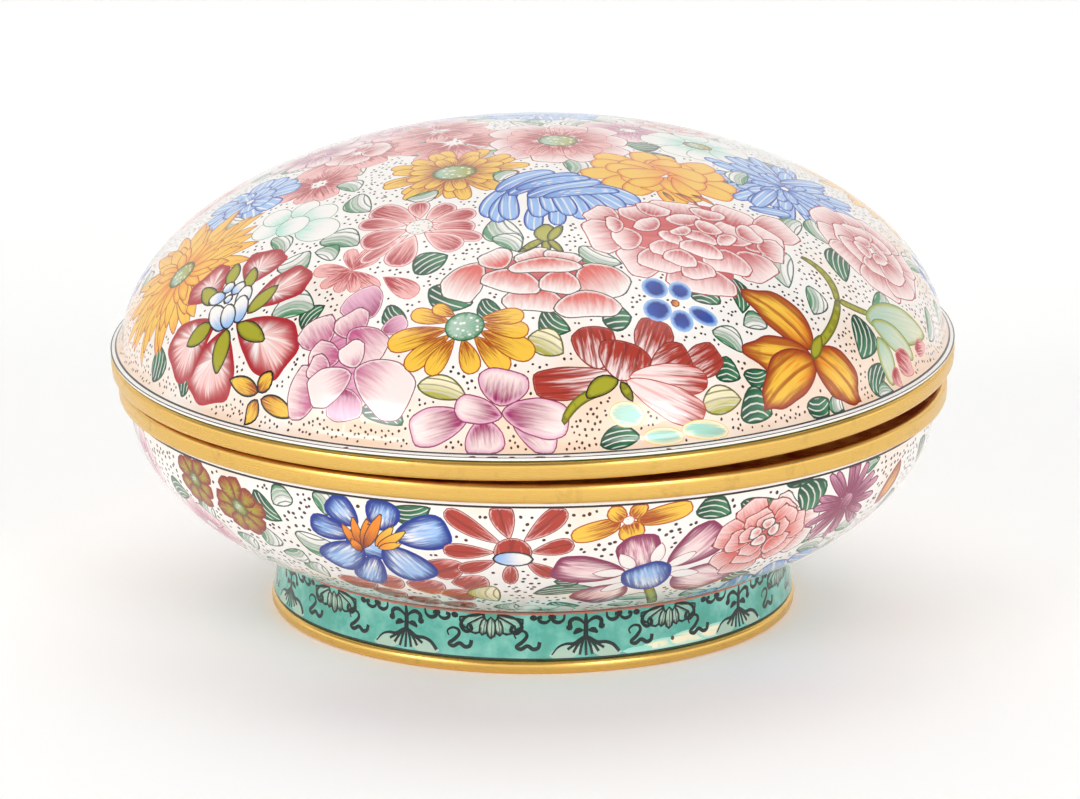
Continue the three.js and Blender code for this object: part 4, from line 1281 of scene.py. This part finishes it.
def studio_paper():
    """Backdrop paper, matt and almost white, lit a little from below: soft pale shadows and no gloss."""
    material, tree = fresh_material("backdrop_paper_matt")
    place = add(tree, "ShaderNodeTexCoord", out="Object")
    # The tooth of paper is finer; it is drawn near 1 mm so that it shows.
    tooth = add(tree, "ShaderNodeTexNoise", {"Vector": place, "Scale": per_metre(1.111), "Detail": 2.0})
    bump = add(tree, "ShaderNodeBump", {"Height": tooth, "Strength": 0.05, "Distance": 0.2 * MM})
    matt = {
        "Base Color": colour("floor"), "Roughness": 0.9, "Normal": bump,
        "Emission Color": colour("floor"), "Emission Strength": 0.12,
    }
    add(tree, "ShaderNodeOutputMaterial", {0: add(tree, "ShaderNodeBsdfPrincipled", matt)})
    return material


PATH_STEPS = 6
# Width of a drawn line from its start to its end, as shares of its full width, which it can't pass.
LINE_SWELL = (0.4, 1.8)


def smooth_path(points):
    """Even curve through a few points."""
    points = np.array(points, float)
    ends = np.concatenate([[2 * points[0] - points[1]], points, [2 * points[-1] - points[-2]]])
    share = np.linspace(0, 1, PATH_STEPS, endpoint=False)[:, None]
    curve = []
    for a, b, c, d in zip(ends, ends[1:], ends[2:], ends[3:]):
        slope = (c - a) / 2
        leave = (d - b) / 2
        curve.append(
            (2 * share**3 - 3 * share**2 + 1) * b + (share**3 - 2 * share**2 + share) * slope
            + (3 * share**2 - 2 * share**3) * c + (share**3 - share**2) * leave
        )
    return np.concatenate(curve + [points[-1:]])


class Ribbon:
    """A line drawn with one pull of the brush, thin at its start."""

    def __init__(self, paint, path, width):
        self.paint = paint
        run = np.gradient(path, axis=0)
        side = np.stack([-run[:, 1], run[:, 0]], axis=1) / np.linalg.norm(run, axis=1)[:, None]
        half = (width / 2 * np.clip(np.linspace(*LINE_SWELL, len(path)), 0, 1))[:, None]
        self.outline = np.concatenate([path - side * half, (path + side * half)[::-1]])
        self.inner = path[1:-1]

    def brush(self, points):
        """Even colour all along the line."""
        return np.tile(LINE_MARK, (len(points), 1))


# Scrolls of the foot, in millimetres to the right and up from the foot's lower edge.
FOOT_BAND = 6.2
CURLED_TWO = (
    (-1.3, 2.6), (-1.5, 3.2), (-0.8, 3.65), (0, 3.5), (0.2, 2.9), (-0.4, 2.2), (-1.2, 1.6), (-0.6, 1.3),
    (0.3, 1.7), (1.1, 1.3), (1.8, 1.5), (2, 2.2),
)
EDGE_CURL = ((-0.9, 6.1), (-0.75, 5.2), (-0.1, 4.8), (0.6, 5), (0.75, 5.5), (0.3, 5.6))
STEM_HOOK = ((0, 4.3), (0.7, 5), (1.5, 5.3), (2.2, 4.9), (2.2, 4.2))
LEAF_ROOF = (
    (-4.8, 0.6), (-3.9, 1.5), (-2.8, 1.9), (-1.6, 1.95), (0, 2.7),
    (1.6, 1.95), (2.8, 1.9), (3.9, 1.5), (4.8, 0.6),
)
LEAF_STEM = ((0, 6.1), (0.05, 4.5), (0, 2.5))
LEAF_VEINS = ((-2.6, 1.2), (-1.8, 0.8), (-0.9, 0.5), (0, 0.4), (0.9, 0.5), (1.8, 0.8), (2.6, 1.2))
SIDE_CURL = ((-1, 5.9), (-2.6, 5.7), (-3.9, 5), (-4.3, 4), (-3.6, 3.3), (-2.8, 3.6), (-3, 4.3))
# Worn strip along the foot's lower edge: start, end and width of each patch.
WORN_EDGE = (
    ((13, 0.8), (20, 0.9), 1.5), ((17, 1), (25.6, 1.1), 2.1),
    ((22, 1.1), (30, 1.2), 1.8), ((10, 0.5), (15, 0.6), 0.8),
)
# Bearings in degrees to the right of the front: the worn strip, the first flower, and a leaf from its flower.
WEAR_BEARING = 4
FLOWER_BEARING = -9
LEAF_BEARING = 20.5
FOOT_REPEATS = 9


def foot_scrolls(flat):
    """Hanging flowers, standing lotus leaves and curled scrolls round the foot, nine times over."""
    top, bottom = flat[0], flat[-1]
    marks = []

    def place(spot, across, up):
        bearing = math.radians(90 - spot) - across / top
        away = bottom + (top - bottom) * up / FOOT_BAND
        return away * math.cos(bearing), away * math.sin(bearing)

    def petal(shape, paint, spot, start, end, width, bend=0):
        mark = (*place(spot, *start), *place(spot, *end), width, bend)
        marks.append(Stroke(shape, paint, 0, mark))

    def line(spot, points, width, hand=1):
        path = np.array([place(spot, hand * across, up) for across, up in smooth_path(points)])
        marks.append(Ribbon("teal_scroll", path, width))

    for start, end, width in WORN_EDGE:
        petal("leaf", "ivory_wear", WEAR_BEARING, start, end, width)
    petal("round", "copper_chip", WEAR_BEARING, (17.6, 1.2), (18.2, 1.3), 0.6)
    for repeat in range(FOOT_REPEATS):
        spot = 360 / FOOT_REPEATS * repeat + FLOWER_BEARING
        for hand in (-1, 1):
            petal("fan", "pale_scroll_petal", spot, (hand * 0.8, 5.9), (hand * 4.6, 4.7), 2.2, hand * -0.7)
            petal("fan", "pale_scroll_petal", spot, (hand * 0.8, 5.6), (hand * 3.4, 3.5), 2, hand * -0.4)
            line(spot, SIDE_CURL, 0.5, -hand)
            petal("strap", "grey_petal", spot, (hand * 0.8, 5.4), (hand * 1.3, 2.8), 1.3)
            line(spot + hand * 7.4, CURLED_TWO, 0.5)
        petal("strap", "grey_petal", spot, (0, 5.6), (0, 2.4), 1.4)
        leaf = spot + LEAF_BEARING
        for hand in (-1, 1):
            petal("leaf", "pale_leaf_wash", leaf, (hand * 5.2, 0.5), (hand * 0.4, 1.3), 1.7)
        line(leaf, LEAF_ROOF, 0.44)
        line(leaf, LEAF_STEM, 0.65)
        for across, up in LEAF_VEINS:
            line(leaf, ((across * 0.15, 2.5), (across * 0.6, 1.8), (across, up)), 0.35)
        for hand in (-1, 1):
            line(leaf, STEM_HOOK, 0.6, hand)
            petal("round", "teal_scroll", leaf, (hand * 1.8, 4.1), (hand * 2.8, 4), 0.9)
            petal("leaf", "teal_scroll", leaf, (hand * 0.2, 3.6), (hand * 1.9, 3), 0.8, hand * 0.3)
            line(leaf + hand * 6, EDGE_CURL, 0.58, hand)
            line(leaf + hand * 9, EDGE_CURL, 0.52, hand)
            petal("round", "teal_scroll", leaf + hand * 7.5, (-0.5, 5.6), (0.5, 5.7), 0.9)
            petal("round", "teal_scroll", leaf + hand * 11.4, (-0.5, 5.6), (0.6, 5.4), 0.9)
    return marks


# Painted borders, in millimetres: width of a drawn line, its distance from the edge of the lid and of the
# bowl, and the line on the lid's very edge.
BORDER_LINE = 0.3
LID_BORDER = 0.95
BOWL_BORDER = 0.8
EDGE_LINE = 0.2
# Widths of the pink line at the bowl's foot, and of the dark and pink lines on the foot ring.
BOWL_FOOT_LINE = 0.9
FOOT_LOW_LINE = 0.2
FOOT_TOP_LINE = 0.25
# Ground dots: spacing and largest size in millimetres, and the seed of their places.
LID_DOTS = (1.08, 0.54, 5)
BOWL_DOTS = (1.12, 0.64, 8)
# Flat radii between which the ground warms to peach.
LID_WARM = (44, 68)
BOWL_WARM = (45, 66)
# Chips in the enamel along the lid's edge: place to the right of the front, and width.
EDGE_CHIPS = ((-9.6, 1.6), (-6.4, 2.6), (-3.2, 1.2), (1.4, 2.2), (5.6, 1.4), (22, 1.2), (-30, 1.3))
CHIP_INSET = 0.22
CHIP_DEPTH = 0.5
# Places in the UV square: centre and radius of a painted disc, and centre and radii of its plain faces.
PAINTED_UV = (0.45, 0.45, 0.44)
INSIDE_UV = (0.88, 0.88, 0.115, 0)
FOOT_UV = (0.5, 0.5, 0.48)
FOOT_INSIDE_UV = (0.5, 0.5, 0.39, 0.2)
# The foot's enamel stands back from its gilt rim, at the top and at the bottom, and is hollowed between.
FOOT_TOP_INSET = 0.6
FOOT_LOW_INSET = 0.3
FOOT_HOLLOW = 0.4
FOOT_HOLLOW_HEIGHT = 5.4
# Rings of the turned profiles.
LID_STEPS = 300
LIP_STEPS = 30
LID_INSIDE_STEPS = 40
BOWL_STEPS = 240
BOWL_INSIDE_STEPS = 30
FOOT_STEPS = 60
# The lid's lip, in millimetres above the gilt rim: where its curve aims, and its edge.
LIP_AIM = 0.9
LIP_EDGE = 0.5
# The bowl's underside flattens in two steps inside the foot: how far in, and how high above the middle.
FLOOR_BEND = (5, 1)
FLOOR_FLAT = (12, 0.3)
# How far the lid's gilt rim leans out.
LID_RIM_LEAN = 0.15
# Painted shade browns the gilding below this height on the lid's rim, and further in than this on the bowl's.
GAP_SHADE_HEIGHT = 0.1
GAP_SHADE_INSET = 0.8


class ENAMELBOX_OT_lid_dome(bpy.types.Operator):
    """Build the domed lid and paint its flowers"""

    bl_idname = "enamel_box.lid_dome"
    bl_label = "Lid Dome"

    def execute(self, context):
        size = sizes()
        rise = size.lid_height - size.lid_centre
        neck = math.asin((size.lid_neck - size.lid_centre) / rise)
        radius, height = ellipse(size.lid_centre, size.lid_radius, rise, math.pi / 2, neck, LID_STEPS)
        radius[0] = 0
        low = size.lid_rim_height + size.seam
        aim = (radius[-1], low + LIP_AIM)
        flare = bend_curve((radius[-1], height[-1]), aim, (size.lid_lip, low + LIP_EDGE), LIP_STEPS)
        radius = np.concatenate([radius, flare[1:, 0]])
        height = np.concatenate([height, flare[1:, 1]])
        flat = arc_length(radius, height)
        skin = Skin(radius, height, flat, 1)
        rim = flat[-1]
        border = rim - LID_BORDER
        zones = (
            (border, border + BORDER_LINE, "black_line"),
            (border + BORDER_LINE, rim - EDGE_LINE, "white_ground"),
            (rim - EDGE_LINE, rim, "black_line"),
        )
        strokes = strokes_of(LID_FRONT, True) + strokes_of(LID_CROWN) + strokes_of(LID_FRONT)
        strokes += ground_dots(strokes, 0, border, *LID_DOTS)
        for across, wide in EDGE_CHIPS:
            edge = -math.sqrt((rim - CHIP_INSET) ** 2 - across**2)
            mark = (across - wide / 2, edge, across + wide / 2, edge, CHIP_DEPTH)
            strokes.append(Stroke("leaf", "copper_chip", 0, mark))
        shell = Shell()
        outer, _ = shell.draw(skin, strokes, zones, "white_ground", PAINTED_UV, LID_WARM)
        inner = size.lid_radius - size.wall
        within = ellipse(size.lid_centre, inner, rise - size.wall, 0.05, math.pi / 2, LID_INSIDE_STEPS)
        profile = [(size.lid_lip - 0.15, low + 0.1), (size.lid_lip - 0.4, low), (inner, low)]
        profile += list(zip(*within))
        profile[-1] = (0, profile[-1][1])
        shell.close(outer, skin, profile, "turquoise_ground", INSIDE_UV, edge=2)
        shell.piece("lid_painted_dome", "lid_dome", "flower_enamel", lid_seat(size))
        return {"FINISHED"}


class ENAMELBOX_OT_lid_rim(bpy.types.Operator):
    """Build the gilt rim under the lid"""

    bl_idname = "enamel_box.lid_rim"
    bl_label = "Lid Rim"

    def execute(self, context):
        size = sizes()
        inner = size.lid_rim_radius - size.lid_rim_width
        outer = size.lid_rim_radius
        top = size.lid_rim_height
        corners = ((inner, 0), (outer, 0), (outer + LID_RIM_LEAN, top), (inner, top))

        # The rim's underside, in the gap over the bowl, gets painted shade.
        def covered(radius, height):
            return height < GAP_SHADE_HEIGHT

        gilt_ring("lid_gilt_rim", "lid_rim", corners, lid_seat(size), covered)
        return {"FINISHED"}


class ENAMELBOX_OT_bowl(bpy.types.Operator):
    """Build the bowl and paint its flowers"""

    bl_idname = "enamel_box.bowl"
    bl_label = "Bowl"

    def execute(self, context):
        size = sizes()
        top = size.bowl_rim_low - size.seam
        joint = size.foot_radius - FOOT_TOP_INSET
        start = math.asin((top - size.bowl_centre) / size.bowl_depth)
        end = -math.acos(joint / size.bowl_radius)
        radius, height = ellipse(size.bowl_centre, size.bowl_radius, size.bowl_depth, start, end, BOWL_STEPS)
        flat = even_scale(radius, height)
        skin = Skin(radius, height, flat, -1)
        line = flat[0] - BOWL_BORDER
        zones = (
            (line, line + BORDER_LINE, "black_line"),
            (line + BORDER_LINE, flat[0], "white_ground"),
            (flat[-1], flat[-1] + BOWL_FOOT_LINE, "pink_line"),
        )
        strokes = strokes_of(BOWL_FRONT, True) + strokes_of(BOWL_FRONT)
        strokes += ground_dots(strokes, flat[-1] + 0.3, line, *BOWL_DOTS)
        shell = Shell()
        rim, foot = shell.draw(skin, strokes, zones, "white_ground", PAINTED_UV, BOWL_WARM)
        base, wall = size.base_height, size.wall
        bend, bend_rise = joint - FLOOR_BEND[0], FLOOR_BEND[1]
        level, level_rise = joint - FLOOR_FLAT[0], FLOOR_FLAT[1]
        under = [(bend, base + bend_rise), (level, base + level_rise), (0, base)]
        cx, cy, reach = PAINTED_UV
        under_uv = (cx, cy, reach * (flat[-1] / flat[0]), 0)
        shell.close(foot, skin, under, "turquoise_ground", under_uv, inward=True)
        wide, deep = size.bowl_radius - wall, size.bowl_depth - wall
        within = ellipse(size.bowl_centre, wide, deep, start, end, BOWL_INSIDE_STEPS)
        hollow = [(within[0][0], top)] + list(zip(*within))[1:]
        hollow += [(level, base + wall + level_rise), (0, base + wall)]
        shell.close(rim, skin, hollow, "turquoise_ground", INSIDE_UV)
        shell.piece("bowl_painted_shell", "bowl", "flower_enamel")
        return {"FINISHED"}


class ENAMELBOX_OT_bowl_rim(bpy.types.Operator):
    """Build the gilt rim of the bowl with its collar"""

    bl_idname = "enamel_box.bowl_rim"
    bl_label = "Bowl Rim"

    def execute(self, context):
        size = sizes()
        low = size.bowl_rim_low
        top = low + size.bowl_rim_height
        inner = size.collar_radius - size.collar_wall
        outer = size.bowl_rim_radius
        corners = (
            (inner, low), (outer, low), (outer, top), (size.collar_radius, top),
            (size.collar_radius, size.collar_top), (inner, size.collar_top),
        )

        # The collar and the inner top of the rim, under the lid, get painted shade.
        def covered(radius, height):
            return radius < outer - GAP_SHADE_INSET

        gilt_ring("bowl_gilt_rim", "bowl_rim", corners, covered=covered)
        return {"FINISHED"}


class ENAMELBOX_OT_foot(bpy.types.Operator):
    """Build the turquoise foot and draw its scrolls"""

    bl_idname = "enamel_box.foot"
    bl_label = "Foot"

    def execute(self, context):
        size = sizes()
        low = size.foot_rim_height + size.seam
        outer = size.foot_radius - FOOT_TOP_INSET
        foot = size.foot_radius - FOOT_LOW_INSET

        def under_bowl(radius):
            share = math.sqrt(1 - (radius / size.bowl_radius) ** 2)
            return size.bowl_centre - size.bowl_depth * share - size.seam

        hollow = (outer - FOOT_HOLLOW, FOOT_HOLLOW_HEIGHT)
        radius, height = bend_curve((outer, under_bowl(outer)), hollow, (foot, low), FOOT_STEPS).T
        flat = even_scale(radius, height)
        skin = Skin(radius, height, flat, -1)
        zones = (
            (flat[-1], flat[-1] + FOOT_LOW_LINE, "teal_scroll"),
            (flat[0] - FOOT_TOP_LINE, flat[0], "pink_line"),
        )
        shell = Shell()
        top, bottom = shell.draw(skin, foot_scrolls(flat), zones, "turquoise_ground", FOOT_UV)
        inner = outer - size.wall
        profile = [(foot - size.wall, low), (inner, under_bowl(inner))]
        shell.close(bottom, skin, profile, "turquoise_ground", FOOT_INSIDE_UV, top, inward=True)
        shell.piece("foot_enamelled_ring", "foot", "turquoise_enamel")
        return {"FINISHED"}


class ENAMELBOX_OT_foot_rim(bpy.types.Operator):
    """Build the gilt ring that the box stands on"""

    bl_idname = "enamel_box.foot_rim"
    bl_label = "Foot Rim"

    def execute(self, context):
        size = sizes()
        inner = size.foot_radius - size.foot_rim_width
        outer = size.foot_radius
        top = size.foot_rim_height
        corners = ((inner, 0), (outer, 0), (outer, top), (inner, top))
        gilt_ring("foot_gilt_rim", "foot_rim", corners)
        return {"FINISHED"}


# The floor runs back from its front edge and bends up into a wall, in metres.
FLOOR_FRONT = -2.0
FLOOR_STEP = 0.1
FLOOR_STEPS = 31
FLOOR_HALF_WIDTH = 3
BEND_START = 1.0
BEND_RADIUS = 0.8
BEND_STEPS = 24
WALL_TOP = 3.0
# Softboxes: place and aim in metres, width, height and watts.
SOFTBOXES = {
    "softbox_left": ((-1.05, -0.95, 0.5), (0, 0, 0.03), 0.6, 0.5, 6),
    "softbox_right": ((0.7, -1.1, 0.48), (0, 0, 0.03), 0.5, 0.5, 4.8),
    "softbox_top": ((0, 0.4, 1.5), (0, 0.3, 0), 1.6, 1.2, 8),
}
# Camera: focal length and picture width in pixels, film width in millimetres, place in metres, degrees down.
FOCAL_PIXELS = 6529
PICTURE_PIXELS = 1080
FILM_WIDTH = 36
CAMERA_PLACE = (0.00101, -0.9, 0.27838)
CAMERA_PITCH = 15.47


class ENAMELBOX_OT_stage(bpy.types.Operator):
    """Build the pale floor, the soft lights and the camera"""

    bl_idname = "enamel_box.stage"
    bl_label = "Stage"

    def execute(self, context):
        scene = context.scene
        scene.view_settings.view_transform = "Standard"
        side = [(FLOOR_FRONT + FLOOR_STEP * i, 0.0) for i in range(FLOOR_STEPS)]
        for turn in np.linspace(0.05, math.pi / 2, BEND_STEPS):
            rise = BEND_RADIUS - BEND_RADIUS * math.cos(turn)
            side.append((BEND_START + BEND_RADIUS * math.sin(turn), rise))
        side.append((BEND_START + BEND_RADIUS, WALL_TOP))
        points = [(hand * FLOOR_HALF_WIDTH, y, z) for y, z in side for hand in (-1, 1)]
        faces = [(2 * i, 2 * i + 1, 2 * i + 3, 2 * i + 2) for i in range(len(side) - 1)]
        mesh = bpy.data.meshes.new("studio_floor")
        mesh.from_pydata(points, [], faces)
        mesh.polygons.foreach_set("use_smooth", [True] * len(faces))
        mesh.materials.append(studio_paper())
        floor = bpy.data.objects.new("studio_floor", mesh)
        scene.collection.objects.link(floor)
        for name, (place, aim, wide, high, watts) in SOFTBOXES.items():
            light = bpy.data.lights.new(name, "AREA")
            light.shape = "RECTANGLE"
            light.size, light.size_y = wide, high
            light.energy = watts
            lamp = bpy.data.objects.new(name, light)
            lamp.location = place
            lamp.rotation_euler = (Vector(aim) - Vector(place)).to_track_quat("-Z", "Y").to_euler()
            scene.collection.objects.link(lamp)
        world = bpy.data.worlds.new("studio_air")
        world.use_nodes = True
        sky = world.node_tree
        air = add(sky, "ShaderNodeTexCoord", out="Generated")
        height = add(sky, "ShaderNodeSeparateXYZ", {0: air}, 2)
        fade = {"Value": height, "From Max": 0.42, "To Min": 1.75, "To Max": 0.3}
        glow = add(sky, "ShaderNodeMapRange", fade)
        sky.nodes["Background"].inputs["Color"].default_value = (1, 1, 1, 1)
        sky.links.new(glow, sky.nodes["Background"].inputs["Strength"])
        scene.world = world
        camera = bpy.data.cameras.new("photo_camera")
        camera.sensor_fit = "HORIZONTAL"
        camera.sensor_width = FILM_WIDTH
        camera.lens = FOCAL_PIXELS / PICTURE_PIXELS * FILM_WIDTH
        camera.clip_start = 0.05
        eye = bpy.data.objects.new("photo_camera", camera)
        eye.location = CAMERA_PLACE
        eye.rotation_euler = (math.radians(90 - CAMERA_PITCH), 0, 0)
        scene.collection.objects.link(eye)
        scene.camera = eye
        return {"FINISHED"}


class ENAMELBOX_PT_build(bpy.types.Panel):
    """Lists the pieces of the box"""

    bl_idname = "ENAMELBOX_PT_build"
    bl_label = "Painted Enamel Box"
    bl_space_type = "VIEW_3D"
    bl_region_type = "UI"
    bl_category = "Enamel Box"

    def draw(self, context):
        column = self.layout.column()
        for operator in OPERATORS:
            column.operator(operator.bl_idname)
        for group, kind in (("enamel_box_sizes", EnamelBoxSizes), ("enamel_box_colours", EnamelBoxColours)):
            for name in kind.__annotations__:
                column.prop(getattr(context.scene, group), name)


OPERATORS = (
    ENAMELBOX_OT_stage,
    ENAMELBOX_OT_foot_rim,
    ENAMELBOX_OT_foot,
    ENAMELBOX_OT_bowl,
    ENAMELBOX_OT_bowl_rim,
    ENAMELBOX_OT_lid_rim,
    ENAMELBOX_OT_lid_dome,
)
CLASSES = (EnamelBoxSizes, EnamelBoxColours, *OPERATORS, ENAMELBOX_PT_build)


def register():
    for cls in CLASSES:
        bpy.utils.register_class(cls)
    bpy.types.Scene.enamel_box_sizes = PointerProperty(type=EnamelBoxSizes)
    bpy.types.Scene.enamel_box_colours = PointerProperty(type=EnamelBoxColours)


def unregister():
    del bpy.types.Scene.enamel_box_colours
    del bpy.types.Scene.enamel_box_sizes
    for cls in reversed(CLASSES):
        bpy.utils.unregister_class(cls)


def main():
    """Build every piece in order."""
    register()
    bpy.ops.enamel_box.stage()
    bpy.ops.enamel_box.foot_rim()
    bpy.ops.enamel_box.foot()
    bpy.ops.enamel_box.bowl()
    bpy.ops.enamel_box.bowl_rim()
    bpy.ops.enamel_box.lid_rim()
    bpy.ops.enamel_box.lid_dome()


if __name__ == "__main__":
    main()
